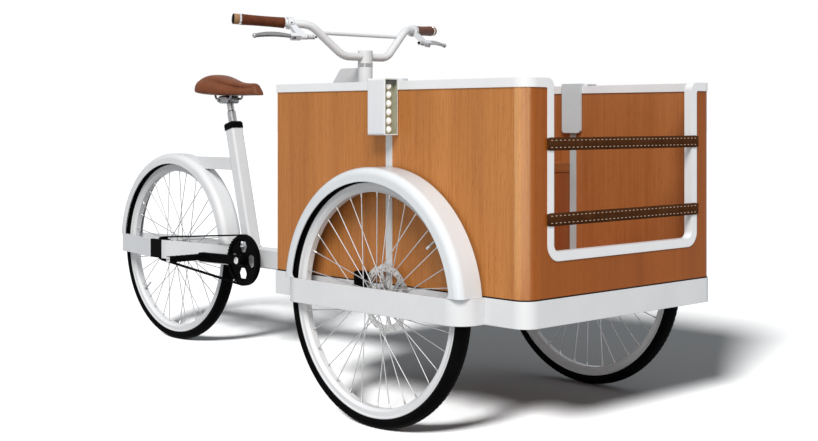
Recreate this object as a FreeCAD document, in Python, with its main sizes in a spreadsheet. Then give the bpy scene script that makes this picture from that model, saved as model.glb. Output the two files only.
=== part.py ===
import FreeCAD, Part
import math
import os
import Sketcher
from FreeCAD import Placement, Rotation, Vector

# Cargo tricycle with two front wheels beside an open plywood box and one driven rear wheel.
# The box, its wheels and the handlebar steer together about the column behind the box.
# Millimetres. +X forward, +Y to the rider's left, +Z up. The origin is on the floor,
# under the middle of the overall length.

SIZES = {
    # wheels
    "wheelbase": 1422,
    "half_track": 393,
    "tyre_radius": 303,
    "tyre_width": 42,
    "rim_width": 30,
    "rim_depth": 21,
    "rim_wall": 14,
    "rim_bed_width": 16,
    "rim_flange": 3,
    "rim_well": 12,
    "spoke_count": 32,
    "spoke_diameter": 2.4,
    "spoke_sink": 5,
    "valve_length": 38,
    "valve_radius": 2,
    "valve_cap_radius": 3.2,
    "valve_cap_length": 11,
    "front_valve_angle": 37.5,
    "rear_valve_angle": 217.5,
    "flange_radius": 27,
    "flange_thickness": 3.5,
    "spoke_circle_radius": 23,
    "barrel_radius": 15,
    "running_clearance": 0.05,
    "axle_end_gap": 0.3,
    "axle_cover": 3,
    # front hubs, measured from the wheel's middle plane
    "front_flange_spread": 17,
    "front_hub_outer": 26,
    "front_hub_inner": 35,
    "front_hub_nose": 12,
    "front_axle_radius": 7,
    "axle_shoulder_radius": 10,
    "rotor_offset": 29,
    "rotor_seat_radius": 21,
    "rotor_spigot_radius": 17,
    "rotor_thickness": 2,
    "rotor_radius": 81,
    "rotor_band": 17,
    "rotor_arms": 6,
    "rotor_holes": 20,
    "rotor_hole_radius": 2.3,
    "rotor_row_spread": 2.8,
    "rotor_waves": 10,
    "rotor_wave_radius": 12,
    "rotor_wave_depth": 3,
    # rear hub, measured from the wheel's middle plane
    "rear_flange_spread": 28,
    "rear_hub_end": 60,
    "rear_barrel_radius": 18,
    "rear_axle_radius": 5,
    "sprocket_seat_radius": 17,
    "sprocket_shoulder_radius": 22,
    # flat bars of the chassis
    "bar_bottom": 274,
    "bar_height": 60,
    "sill_lip": 3.75,
    "sill_bar": 45,
    "sill_wall": 4,
    "cross_bar_width": 60,
    "cross_bar_setback": 30,
    "loop_half_length": 315,
    "loop_offset": 36,
    "loop_thickness": 5,
    "loop_corner": 50,
    # fenders
    "fender_radius": 314,
    "fender_thickness": 2.5,
    "fender_depth": 34,
    "fender_shoulder": 18,
    "fender_box_gap": 4,
    "fender_toe_radius": 12,
    "fender_toe_lap": 4,
    "rear_fender_half_width": 36,
    # box
    "box_length": 870,
    "box_width": 701,
    "wall": 18,
    "corner_radius": 34,
    "rim_top": 821,
    "trim_height": 21,
    "trim_web": 3,
    "trim_skin": 2.2,
    "opening_half_width": 281,
    "opening_bottom": 416,
    "opening_corner": 37,
    "opening_top_corner": 20,
    "trim_throat_radius": 6,
    "floor_thickness": 12,
    "floor_inset": 14,
    "floor_front_gap": 8,
    "bench_top": 611.5,
    "bench_thickness": 27,
    "bench_front_setback": 12,
    "bench_nose": 2.5,
    "bench_panel": 15,
    "bench_overhang": 2,
    # entry straps
    "strap_width": 29,
    "strap_thickness": 3.5,
    "strap_end_radius": 4,
    "strap_lap": 3,
    "upper_strap_height": 675.5,
    "lower_strap_height": 509,
    # side lamps
    "lamp_width": 64,
    "lamp_depth": 42,
    "lamp_bottom": 692,
    "lamp_top": 827,
    "lamp_plate": 9,
    "lamp_slot_clearance": 0.3,
    "lamp_round": 5,
    "lamp_plate_round": 10,
    "bezel_width": 37,
    "bezel_height": 129,
    "bezel_depth": 14,
    "bezel_wall": 1.2,
    "bezel_base": 4,
    "led_count": 6,
    "led_pitch": 20.6,
    "led_drop": 2.5,
    "led_radius": 8,
    "led_dome": 6,
    "led_clearance": 0.1,
    "post_width": 21,
    "post_thickness": 3,
    # disc calipers
    "caliper_length": 40,
    "caliper_height": 44,
    "caliper_slot": 5,
    "caliper_outer_gap": 6,
    "caliper_x": 86,
    "caliper_z": 36,
    "caliper_round": 6,
    "caliper_foot": 6,
    # steering column
    "column_setback": 49,
    "column_radius": 21,
    "column_bore_radius": 17,
    "column_top": 878,
    "headset_ring": 8.7,
    "headset_ring_radius": 21.6,
    "headset_sleeve": 20,
    "lower_ring": 6,
    "steerer_radius": 14.3,
    "steer_gap": 0.3,
    "yoke_thickness": 15,
    "yoke_width": 110,
    "yoke_tail": 34,
    "yoke_tail_round": 30,
    "stem_top": 38,
    "stem_round": 3,
    "stem_cap": 6,
    # handlebar
    "bar_radius": 11.1,
    "bar_height_at_stem": 18.5,
    "bar_lower_half": 82,
    "bar_upper_half": 178,
    "bar_rise": 84,
    "bar_setback": 25,
    "bar_bend_radius": 60,
    "grip_end_half": 378,
    "grip_end_rise": 96,
    "grip_end_setback": 113,
    "crossbar_radius": 5,
    "crossbar_rise": 63,
    "grip_radius": 15,
    "grip_length": 143,
    "grip_cap": 5,
    # brake levers
    "lever_clamp_half": 232,
    "lever_clamp_radius": 17,
    "lever_clamp_length": 16,
    "lever_pivot_setback": 6,
    "lever_pivot_half": 256,
    "lever_pivot_rise": 48,
    "lever_tip_setback": 44,
    "lever_tip_half": 363,
    "lever_pin_radius": 2.5,
    "lever_hub_radius": 7,
    "lever_hub_height": 8,
    "lever_ear": 3.5,
    "lever_side_gap": 0.3,
    "lever_eye_room": 1.5,
    "lever_blade_width": 15,
    "lever_blade_bow": 9,
    "lever_blade_thickness": 6,
    "lever_knob_radius": 6.5,
    "perch_length": 40,
    "perch_radius": 7.5,
    "perch_web_start": 12,
    "perch_web_thickness": 12,
    "adjuster_radius": 6.3,
    "adjuster_length": 22,
    # rear frame
    "beam_width": 46,
    "beam_wall": 4,
    "beam_tail": 76,
    "beam_round": 5,
    "column_weld_inset": 8,
    "gusset_thickness": 12,
    "gusset_top": 2,
    "gusset_top_length": 101,
    "gusset_corner_length": 134,
    "gusset_corner_height": 39,
    "gusset_corner_round": 22,
    "gusset_foot_length": 330,
    "gusset_sweep_radius": 1300,
    "stay_thickness": 12,
    "stay_half_width": 80,
    "stay_root_setback": 25,
    "stay_lap": 12,
    "stay_wide_front": 40,
    "stay_wide_rear": 53,
    "stay_bend_round": 60,
    "tail_gap": 4,
    "tail_radius": 36,
    "block_length": 66,
    "block_front": 19,
    "upper_stay_bottom": 570,
    "upper_stay_height": 39,
    "upper_stay_width": 20,
    # seat
    "seat_tube_side": 42,
    "seat_tube_round": 7,
    "seat_tube_base_setback": 32,
    "seat_tube_length": 377,
    "seat_lean": 14.6,
    "seatpost_radius": 13.6,
    "seatpost_insert": 180,
    "seatpost_spare": 45,
    "seatpost_step": 55,
    "seatpost_taper": 6,
    "seatpost_top_radius": 10.8,
    "seatpost_exposed": 103,
    "collar_height": 22,
    "collar_side": 46,
    "collar_taper": 5,
    "saddle_bottom": 804,
    "saddle_length": 274,
    "saddle_nose_reach": 47,
    "saddle_rear_half_width": 79,
    "saddle_nose_half_width": 21,
    "saddle_rear_height": 69,
    "saddle_nose_height": 39,
    "rail_radius": 3.5,
    "rail_half_gap": 22,
    "rail_drop": 4,
    "rail_length": 150,
    "rail_front_reach": 70,
    "clamp_length": 36,
    "clamp_width": 62,
    "clamp_height": 18,
    "clamp_round": 6,
    # drive
    "chainstay": 438,
    "bb_height": 298,
    "bb_shell_radius": 23,
    "bb_shell_width": 70,
    "bb_bore_radius": 17,
    "bb_cup": 12,
    "spindle_radius": 8.5,
    "belt_line": 57,
    "belt_width": 14,
    "belt_thickness": 2.4,
    "belt_gap": 0.3,
    "belt_pitch": 11,
    "belt_pitch_line": 0.95,
    "ring_teeth": 44,
    "sprocket_teeth": 22,
    "tooth_gap_radius": 2.9,
    "tooth_gap_sink": 0.8,
    "ring_rim": 11,
    "ring_web": 6,
    "ring_spigot_radius": 15,
    "ring_windows": 4,
    "ring_window_inner": 24,
    "ring_window_outer": 57,
    "ring_window_half": 21,
    "ring_window_round": 5,
    "sprocket_rim": 8,
    "crank_length": 170,
    "crank_inner": 66,
    "crank_thickness": 16,
    "crank_flare": 18,
    "crank_boss_radius": 18,
    "crank_eye_radius": 14,
    "crank_root_width": 28,
    "crank_bolt_radius": 11,
    "crank_bolt": 2,
    "pedal_spindle_radius": 5,
    "pedal_gap": 8,
    "pedal_width": 109,
    "pedal_length": 20,
    "pedal_height": 19,
    "pedal_cap": 6,
    "pedal_teeth": 6,
    "pedal_tooth_depth": 2.2,
    "pedal_round": 2,
}

doc = FreeCAD.newDocument("cargo_tricycle")
sheet = doc.addObject("Spreadsheet::Sheet", "Sizes")
for row, (name, value) in enumerate(SIZES.items(), start=1):
    sheet.set(f"A{row}", str(value))
    sheet.setAlias(f"A{row}", name)
doc.recompute()


class Size:
    """A length with its value and the expression that binds a property to the sheet."""

    def __init__(self, text, value):
        self.text = text
        self.value = value

    def joined(self, sign, other, value):
        return Size(f"({self.text} {sign} {other.text})", value)

    def __add__(self, other):
        other = as_size(other)
        return self.joined("+", other, self.value + other.value)

    def __sub__(self, other):
        other = as_size(other)
        return self.joined("-", other, self.value - other.value)

    def __mul__(self, other):
        other = as_size(other)
        return self.joined("*", other, self.value * other.value)

    def __truediv__(self, other):
        other = as_size(other)
        return self.joined("/", other, self.value / other.value)

    def __radd__(self, other):
        return as_size(other) + self

    def __rsub__(self, other):
        return as_size(other) - self

    def __rmul__(self, other):
        return as_size(other) * self

    def __neg__(self):
        return Size(f"(0 - {self.text})", -self.value)

    def __float__(self):
        return self.value


def as_size(value):
    if isinstance(value, Size):
        return value
    return Size(f"({float(value):.9f})", float(value))


class Dimensions:
    """The sheet's sizes as attributes."""

    def __getattr__(self, name):
        return Size(f"Sizes.{name}", float(sheet.get(name)))


d = Dimensions()
nodes = []


# Helpers for bound objects

def bind(obj, prop, size):
    obj.setExpression(prop, as_size(size).text)


def place(obj, x=0, y=0, z=0):
    for axis, size in zip("xyz", (x, y, z)):
        bind(obj, f"Placement.Base.{axis}", size)
    return obj


def turn(obj, axis, angle):
    obj.Placement = Placement(obj.Placement.Base, Rotation(axis, float(angle)))
    bind(obj, "Placement.Rotation.Angle", angle)
    return obj


def node(obj, label):
    obj.Label = label
    nodes.append(obj)
    return obj


def new_body(name):
    return doc.addObject("PartDesign::Body", name)


def new_sketch(body, role, lift):
    sketch = body.newObject("Sketcher::SketchObject", "profile")
    plane = next(item for item in body.Origin.OriginFeatures if item.Role == role)
    sketch.AttachmentSupport = [(plane, "")]
    sketch.MapMode = "FlatFace"
    bind(sketch, "AttachmentOffset.Base.z", lift)
    return sketch


def arc_through(start, end, radius):
    """Minor arc from start to end, counterclockwise for a positive radius."""
    chord = end - start
    rise = math.sqrt(max(radius * radius - chord.Length ** 2 / 4, 0.0))
    side = Vector(-chord.y, chord.x, 0).normalize()
    centre = (start + end) * 0.5 + side * math.copysign(rise, radius)
    first, last = (start, end) if radius > 0 else (end, start)
    angles = [math.atan2(p.y - centre.y, p.x - centre.x) for p in (first, last)]
    circle = Part.Circle(centre, Vector(0, 0, 1), abs(radius))
    return Part.ArcOfCircle(circle, angles[0], angles[1])


def add_outline(sketch, corners):
    """Closed outline. A corner is (u, v), or (u, v, radius) where an arc arrives at it."""
    count = len(corners)
    first = sketch.GeometryCount
    points = [Vector(float(c[0]), float(c[1]), 0) for c in corners]
    rules = []
    texts = {}
    ends = []
    for i in range(count):
        target = corners[(i + 1) % count]
        start, end = points[i], points[(i + 1) % count]
        if len(target) == 3:
            radius = as_size(target[2])
            index = sketch.addGeometry(arc_through(start, end, radius.value))
            ends.append((1, 2) if radius.value > 0 else (2, 1))
            sized = radius if radius.value > 0 else -radius
            texts[len(rules)] = sized.text
            rules.append(Sketcher.Constraint("Radius", index, sized.value))
        else:
            index = sketch.addGeometry(Part.LineSegment(start, end))
            ends.append((1, 2))
    for i in range(count):
        after = (i + 1) % count
        rules.append(Sketcher.Constraint("Coincident", first + i, ends[i][1], first + after, ends[after][0]))
    for i in range(count):
        for kind, size in zip(("DistanceX", "DistanceY"), corners[i][:2]):
            size = as_size(size)
            texts[len(rules)] = size.text
            rules.append(Sketcher.Constraint(kind, -1, 1, first + i, ends[i][0], size.value))
    before = sketch.ConstraintCount
    sketch.addConstraint(rules)
    for index, text in texts.items():
        sketch.setExpression(f"Constraints[{before + index}]", text)


def outline(body, role, corners, lift=0):
    sketch = new_sketch(body, role, lift)
    add_outline(sketch, corners)
    return sketch


def circle(body, role, radius, u=0, v=0, lift=0):
    sketch = new_sketch(body, role, lift)
    centre = Vector(float(u), float(v), 0)
    index = sketch.addGeometry(Part.Circle(centre, Vector(0, 0, 1), float(radius)))
    before = sketch.ConstraintCount
    sizes = [as_size(u), as_size(v), as_size(radius)]
    sketch.addConstraint([
        Sketcher.Constraint("DistanceX", -1, 1, index, 3, sizes[0].value),
        Sketcher.Constraint("DistanceY", -1, 1, index, 3, sizes[1].value),
        Sketcher.Constraint("Radius", index, sizes[2].value),
    ])
    for offset, size in enumerate(sizes):
        sketch.setExpression(f"Constraints[{before + offset}]", size.text)
    return sketch


def rectangle(u0, v0, u1, v1):
    return [(u0, v0), (u1, v0), (u1, v1), (u0, v1)]


def pad(body, sketch, length, symmetric=False, reverse=False):
    feature = body.newObject("PartDesign::Pad", "pad")
    feature.Profile = sketch
    bind(feature, "Length", length)
    feature.SideType = "Symmetric" if symmetric else "One side"
    feature.Reversed = reverse
    return feature


def pocket(body, sketch, length, symmetric=False, reverse=False):
    doc.recompute()
    before = body.Shape.Volume
    feature = body.newObject("PartDesign::Pocket", "pocket")
    feature.Profile = sketch
    bind(feature, "Length", length)
    feature.SideType = "Symmetric" if symmetric else "One side"
    feature.Reversed = reverse
    doc.recompute()
    if feature.Shape.Volume > before - 1e-6:
        raise RuntimeError(f"{body.Name}: the pocket cuts nothing")
    return feature


def revolve(body, sketch, axis, angle=360, symmetric=False):
    feature = body.newObject("PartDesign::Revolution", "revolution")
    feature.Profile = sketch
    feature.ReferenceAxis = (sketch, [axis])
    bind(feature, "Angle", angle)
    feature.Midplane = symmetric
    return feature


def around(body, feature, sketch, count):
    pattern = body.newObject("PartDesign::PolarPattern", "pattern")
    pattern.Originals = [feature]
    pattern.Axis = (sketch, ["N_Axis"])
    pattern.Angle = 360
    bind(pattern, "Occurrences", count)
    body.Tip = pattern
    return pattern


def along(body, feature, sketch, direction, length, count):
    pattern = body.newObject("PartDesign::LinearPattern", "pattern")
    pattern.Originals = [feature]
    pattern.Direction = (sketch, [direction])
    bind(pattern, "Length", length)
    bind(pattern, "Occurrences", count)
    body.Tip = pattern
    return pattern


def round_edges(body, radius, wanted):
    """Fillet the edges of the body's tip whose middle point and direction are wanted."""
    doc.recompute()
    base = body.Tip
    names = []
    for index, edge in enumerate(base.Shape.Edges, start=1):
        ends = [vertex.Point for vertex in edge.Vertexes]
        if len(ends) == 2 and wanted((ends[0] + ends[1]) * 0.5, (ends[1] - ends[0]).normalize()):
            names.append(f"Edge{index}")
    feature = body.newObject("PartDesign::Fillet", "fillet")
    feature.Base = (base, names)
    bind(feature, "Radius", radius)
    return feature


def near(a, b):
    return abs(float(a) - float(b)) < 0.01


def upright(middle_x=None, middle_y=None):
    """Picks vertical edges, at a given x and distance from the middle plane if these are stated."""
    def wanted(middle, direction):
        at_x = middle_x is None or near(middle.x, middle_x)
        at_y = middle_y is None or near(abs(middle.y), middle_y)
        return abs(direction.z) > 0.999 and at_x and at_y
    return wanted


def lengthwise(middle_y=None, middle_z=None):
    """Picks edges along X, at a given distance from the middle plane and height."""
    def wanted(middle, direction):
        at_y = middle_y is None or near(abs(middle.y), middle_y)
        at_z = middle_z is None or near(middle.z, middle_z)
        return abs(direction.x) > 0.999 and at_y and at_z
    return wanted


def block(name, x0, y0, z0, x1, y1, z1):
    box = doc.addObject("Part::Box", name)
    bind(box, "Length", x1 - x0)
    bind(box, "Width", y1 - y0)
    bind(box, "Height", z1 - z0)
    return place(box, x0, y0, z0)


def rod(name, radius, length, x=0, y=0, z=0):
    cylinder = doc.addObject("Part::Cylinder", name)
    bind(cylinder, "Radius", radius)
    bind(cylinder, "Height", length)
    return place(cylinder, x, y, z)


def cross_rod(name, radius, length, x, y, z):
    """Cylinder along Y, centred on the given point."""
    cylinder = rod(name, radius, length, x, y + as_size(length) / 2, z)
    return turn(cylinder, Vector(1, 0, 0), 90)


def cut(name, base, tool):
    result = doc.addObject("Part::Cut", name)
    result.Base = base
    result.Tool = tool
    return result


def fuse(name, *shapes):
    result = doc.addObject("Part::MultiFuse", name)
    result.Shapes = list(shapes)
    return result


def mirrored(obj, name):
    copy = doc.addObject("Part::Mirroring", name)
    copy.Source = obj
    copy.Normal = Vector(0, 1, 0)
    return copy


def group(name, *shapes):
    result = doc.addObject("Part::Compound", name)
    result.Links = list(shapes)
    return result


def pair(obj, label):
    """The right-hand piece and its mirror image on the left, as one node."""
    return node(group(f"{label}_pair", obj, mirrored(obj, f"{label}_left")), label)


def feature(label, shape):
    obj = doc.addObject("Part::Feature", label)
    obj.Shape = shape
    obj.Placement = Placement()
    return obj


# Layout worked out from the driving sizes

axle_z = d.tyre_radius
bar_top = d.bar_bottom + d.bar_height
rim_radius = d.tyre_radius - d.tyre_width / 2 - (d.tyre_width - d.rim_width) / 2
rear_reach = d.tyre_radius + d.tail_gap + d.stay_thickness
front_reach = d.box_length / 2 + d.trim_skin + d.strap_thickness
front_x = (d.wheelbase + rear_reach - front_reach) / 2
rear_x = front_x - d.wheelbase
right_y = -d.half_track
box_front = front_x + d.box_length / 2
box_back = front_x - d.box_length / 2
column_x = box_back - d.column_setback
stem_low = d.column_top + d.headset_ring + d.steer_gap
stem_top = stem_low + d.stem_top
bar_z = stem_low + d.bar_height_at_stem
bb_x = rear_x + d.chainstay
box_half = d.box_width / 2
sill_half = box_half + d.sill_lip
sill_front = box_front + d.sill_lip
sill_back = box_back - d.sill_lip
wall_top = d.rim_top - d.trim_web
trim_front = box_front + d.trim_skin
trim_depth = d.wall + 2 * d.trim_skin


# Wheels

def tyre(name, x, y):
    half = d.tyre_width / 2
    base = d.rim_width / 2
    shoulder = half - base
    body = new_body(name)
    profile = outline(body, "YZ_Plane", [
        (-base, rim_radius, shoulder),
        (base, rim_radius),
        (half, rim_radius + shoulder, shoulder),
        (0, d.tyre_radius, half),
        (-half, rim_radius + shoulder, half),
    ])
    revolve(body, profile, "H_Axis")
    return place(body, x, y, axle_z)


def rim(name, x, y, valve_angle):
    half = d.rim_width / 2
    bed = d.rim_bed_width / 2
    hoop = new_body(f"{name}_hoop")
    profile = outline(hoop, "YZ_Plane", [
        (-half, rim_radius),
        (d.rim_flange - half, rim_radius),
        (d.rim_flange - half, rim_radius - d.rim_well),
        (half - d.rim_flange, rim_radius - d.rim_well),
        (half - d.rim_flange, rim_radius),
        (half, rim_radius),
        (half, rim_radius - d.rim_wall),
        (bed, rim_radius - d.rim_depth),
        (-bed, rim_radius - d.rim_depth),
        (-half, rim_radius - d.rim_wall),
    ])
    revolve(hoop, profile, "H_Axis")
    place(hoop, x, y, axle_z)
    valve = new_body(f"{name}_valve")
    bed_radius = rim_radius - d.rim_depth
    tip = bed_radius - d.valve_length
    stem = circle(valve, "XY_Plane", d.valve_radius, lift=tip)
    pad(valve, stem, d.valve_length + d.rim_depth / 2)
    cap = circle(valve, "XY_Plane", d.valve_cap_radius, lift=tip)
    pad(valve, cap, d.valve_cap_length)
    place(valve, x, y, axle_z)
    turn(valve, Vector(0, 1, 0), 90 - valve_angle)
    return fuse(name, hoop, valve)


def hub(name, steps, bore, x, y):
    """Turned hub from (distance along the axle, radius) steps, bored for its axle."""
    body = new_body(name)
    corners = [(steps[0][0], bore)] + steps + [(steps[-1][0], bore)]
    revolve(body, outline(body, "YZ_Plane", corners), "H_Axis")
    return place(body, x, y, axle_z)


def flange_steps(spread, inner_radius):
    half = d.flange_thickness / 2
    return [
        (spread - half, inner_radius),
        (spread - half, d.flange_radius),
        (spread + half, d.flange_radius),
    ]


def front_hub(name):
    spread = d.front_flange_spread
    half = d.flange_thickness / 2
    rotor_face = d.rotor_offset
    steps = [
        (-d.front_hub_outer, d.front_hub_nose),
        (-spread - half, d.front_hub_nose),
        (-spread - half, d.flange_radius),
        (-spread + half, d.flange_radius),
        (-spread + half, d.barrel_radius),
    ]
    steps += flange_steps(spread, d.barrel_radius)
    steps += [
        (spread + half, d.rotor_seat_radius),
        (rotor_face, d.rotor_seat_radius),
        (rotor_face, d.rotor_spigot_radius),
        (rotor_face + d.rotor_thickness, d.rotor_spigot_radius),
        (rotor_face + d.rotor_thickness, d.front_hub_nose),
        (d.front_hub_inner, d.front_hub_nose),
    ]
    return hub(name, steps, d.front_axle_radius + d.running_clearance, front_x, right_y)


def rear_hub(name):
    spread = d.rear_flange_spread
    half = d.flange_thickness / 2
    seat_end = d.belt_line + d.belt_width / 2
    steps = [
        (-seat_end, d.sprocket_seat_radius),
        (-seat_end + d.belt_width + d.axle_end_gap, d.sprocket_seat_radius),
        (-seat_end + d.belt_width + d.axle_end_gap, d.sprocket_shoulder_radius),
        (-spread - half, d.sprocket_shoulder_radius),
        (-spread - half, d.flange_radius),
        (-spread + half, d.flange_radius),
        (-spread + half, d.rear_barrel_radius),
    ]
    steps += flange_steps(spread, d.rear_barrel_radius)
    steps += [
        (spread + half, d.rear_barrel_radius),
        (d.rear_hub_end, d.front_hub_nose),
    ]
    return hub(name, steps, d.rear_axle_radius + d.running_clearance, rear_x, 0)


def spokes(label, hub_piece, rim_piece, spread, x, y):
    """Crossed spokes: on each flange half of them lead and half trail, on its two faces."""
    count = int(float(d.spoke_count))
    step = 2 * math.pi / count
    cross = 6 * step
    hole = float(d.spoke_circle_radius)
    end = float(rim_radius - d.rim_depth + d.spoke_sink)
    radius = float(d.spoke_diameter) / 2
    face = float(d.flange_thickness) / 2 + radius
    rim_offset = float(d.rim_bed_width) / 6
    centre = Vector(float(x), float(y), float(axle_z))
    solids = []
    for index in range(count):
        side = 1 if index % 2 == 0 else -1
        lead = 1 if (index // 2) % 2 == 0 else -1
        rim_angle = index * step
        hub_angle = rim_angle + lead * cross
        flange_y = side * (float(spread) + lead * face)
        start = Vector(hole * math.cos(hub_angle), flange_y, hole * math.sin(hub_angle))
        stop = Vector(end * math.cos(rim_angle), side * rim_offset, end * math.sin(rim_angle))
        run = stop - start
        solids.append(Part.makeCylinder(radius, run.Length, centre + start, run))
    doc.recompute()
    trimmed = Part.makeCompound(solids).cut(rim_piece.Shape).cut(hub_piece.Shape)
    kept = [solid for solid in trimmed.Solids if solid.BoundBox.DiagonalLength > end / 2]
    return feature(label, Part.makeCompound(kept))


def rotor(name):
    body = new_body(name)
    disc = circle(body, "XZ_Plane", d.rotor_radius)
    pad(body, disc, d.rotor_thickness, symmetric=True)
    bore = circle(body, "XZ_Plane", d.rotor_spigot_radius + d.running_clearance)
    pocket(body, bore, d.rotor_thickness * 2, symmetric=True)
    arms = float(d.rotor_arms)
    outer = d.rotor_radius - d.rotor_band
    inner = d.rotor_seat_radius + d.rotor_band / 3
    wide = math.pi / arms * 0.84
    lean = math.pi / arms * 0.45
    narrow = math.pi / arms * 0.66
    window = outline(body, "XZ_Plane", [
        (inner * math.cos(-narrow), inner * math.sin(-narrow)),
        (outer * math.cos(lean - wide), outer * math.sin(lean - wide)),
        (outer * math.cos(lean + wide), outer * math.sin(lean + wide), outer),
        (inner * math.cos(narrow), inner * math.sin(narrow)),
    ])
    around(body, pocket(body, window, d.rotor_thickness * 2, symmetric=True), window, d.rotor_arms)
    half_pitch = math.pi / float(d.rotor_holes)
    middle = d.rotor_radius - d.rotor_band / 2
    for radius, angle in ((middle + d.rotor_row_spread, half_pitch), (middle - d.rotor_row_spread, 0)):
        hole = circle(
            body, "XZ_Plane", d.rotor_hole_radius, radius * math.cos(angle), radius * math.sin(angle))
        around(body, pocket(body, hole, d.rotor_thickness * 2, symmetric=True), hole, d.rotor_holes)
    wave_at = d.rotor_radius + d.rotor_wave_radius - d.rotor_wave_depth
    wave = circle(body, "XZ_Plane", d.rotor_wave_radius, u=wave_at)
    around(body, pocket(body, wave, d.rotor_thickness * 2, symmetric=True), wave, d.rotor_waves)
    return place(body, front_x, right_y + d.rotor_offset + d.rotor_thickness / 2, axle_z)


def wheels():
    right = {
        "tyre": tyre("right_tyre", front_x, right_y),
        "rim": rim("right_rim", front_x, right_y, d.front_valve_angle),
        "hub": front_hub("right_hub"),
        "rotor": rotor("right_rotor"),
    }
    right["spokes"] = spokes(
        "right_spokes", right["hub"], right["rim"], d.front_flange_spread, front_x, right_y)
    for piece, obj in right.items():
        node(obj, f"right_{piece}")
        node(mirrored(obj, f"left_{piece}"), f"left_{piece}")
    rear = {
        "tyre": tyre("rear_tyre", rear_x, 0),
        "rim": rim("rear_rim", rear_x, 0, d.rear_valve_angle),
        "hub": rear_hub("rear_hub"),
    }
    rear["spokes"] = spokes("rear_spokes", rear["hub"], rear["rim"], d.rear_flange_spread, rear_x, 0)
    for piece, obj in rear.items():
        node(obj, f"rear_{piece}")


def front_axles():
    outer = d.loop_offset - d.loop_thickness
    inner = d.half_track - sill_half
    body = new_body("front_axle")
    profile = outline(body, "YZ_Plane", [
        (-outer, 0),
        (-outer, d.axle_shoulder_radius),
        (-d.front_hub_outer - d.axle_end_gap, d.axle_shoulder_radius),
        (-d.front_hub_outer - d.axle_end_gap, d.front_axle_radius),
        (d.front_hub_inner + d.axle_end_gap, d.front_axle_radius),
        (d.front_hub_inner + d.axle_end_gap, d.axle_shoulder_radius),
        (inner, d.axle_shoulder_radius),
        (inner, 0),
    ])
    revolve(body, profile, "H_Axis")
    pair(place(body, front_x, right_y, axle_z), "front_axles")


def rear_axle():
    inner = d.stay_half_width - d.stay_thickness
    right_end = d.belt_line + d.belt_width / 2 + d.axle_end_gap
    left_end = d.rear_hub_end + d.axle_end_gap
    tip = d.stay_half_width - d.axle_cover
    body = new_body("rear_axle")
    profile = outline(body, "YZ_Plane", [
        (-tip, 0),
        (-tip, d.rear_axle_radius),
        (-inner, d.rear_axle_radius),
        (-inner, d.axle_shoulder_radius),
        (-right_end, d.axle_shoulder_radius),
        (-right_end, d.rear_axle_radius),
        (left_end, d.rear_axle_radius),
        (left_end, d.axle_shoulder_radius),
        (inner, d.axle_shoulder_radius),
        (inner, d.rear_axle_radius),
        (d.stay_half_width, d.rear_axle_radius),
        (d.stay_half_width, 0),
    ])
    revolve(body, profile, "H_Axis")
    node(place(body, rear_x, 0, axle_z), "rear_axle")


# Chassis under the box, wheel loops and fenders

def sill_frame():
    body = new_body("sill")
    edge = outline(body, "XY_Plane", rectangle(sill_back, -sill_half, sill_front, sill_half), d.bar_bottom)
    pad(body, edge, d.bar_height)
    round_edges(body, d.corner_radius + d.sill_lip, upright(sill_front, sill_half))
    inner = sill_half - d.sill_bar
    bar_front = front_x - d.cross_bar_setback + d.cross_bar_width / 2
    bar_rear = bar_front - d.cross_bar_width
    front_bay = rectangle(bar_front, -inner, sill_front - d.sill_bar, inner)
    pocket(body, outline(body, "XY_Plane", front_bay, bar_top), d.bar_height)
    round_edges(body, d.sill_bar / 2, upright(sill_front - d.sill_bar, inner))
    rear_bay = rectangle(sill_back + d.sill_bar, -inner, bar_rear, inner)
    pocket(body, outline(body, "XY_Plane", rear_bay, bar_top), d.bar_height)

    wall = d.sill_wall
    outer_half = sill_half - wall
    inner_half = inner + wall
    back = sill_back + wall
    bar_back = sill_back + d.sill_bar - wall
    front = sill_front - wall
    bar_nose = sill_front - d.sill_bar + wall
    bend = d.corner_radius + d.sill_lip - wall
    foot = d.yoke_width / 2 + wall
    channel = outline(body, "XY_Plane", [
        (back, -foot),
        (back, -outer_half),
        (front - bend, -outer_half),
        (front, bend - outer_half, bend),
        (front, outer_half - bend),
        (front - bend, outer_half, bend),
        (back, outer_half),
        (back, foot),
        (bar_back, foot),
        (bar_back, inner_half),
        (bar_nose, inner_half),
        (bar_nose, -inner_half),
        (bar_back, -inner_half),
        (bar_back, -foot),
    ], d.bar_bottom)
    pocket(body, channel, d.bar_height - wall, reverse=True)
    trough = rectangle(bar_rear + wall, wall - inner, bar_front - wall, inner - wall)
    pocket(body, outline(body, "XY_Plane", trough, d.bar_bottom), d.bar_height - wall, reverse=True)
    node(body, "sill_frame")


def wheel_loops():
    outer_y = right_y - d.loop_offset
    inner_y = outer_y + d.loop_thickness
    outer_x = d.loop_half_length
    inner_x = outer_x - d.loop_thickness
    body = new_body("loop")
    plan = outline(body, "XY_Plane", [
        (front_x - outer_x, -sill_half),
        (front_x - outer_x, outer_y),
        (front_x + outer_x, outer_y),
        (front_x + outer_x, -sill_half),
        (front_x + inner_x, -sill_half),
        (front_x + inner_x, inner_y),
        (front_x - inner_x, inner_y),
        (front_x - inner_x, -sill_half),
    ], d.bar_bottom)
    pad(body, plan, d.bar_height)
    round_edges(body, d.loop_corner, upright(middle_y=-outer_y))
    round_edges(body, d.loop_corner - d.loop_thickness, upright(middle_y=-inner_y))
    pair(body, "wheel_loops")


def below_bars(name, x):
    """Block that trims a fender to stand on the top edge of the flat bars."""
    reach = d.fender_radius * 1.2
    return block(name, x - reach, -d.half_track - d.sill_bar * 2, -d.bar_height, x + reach, d.half_track, bar_top)


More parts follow.
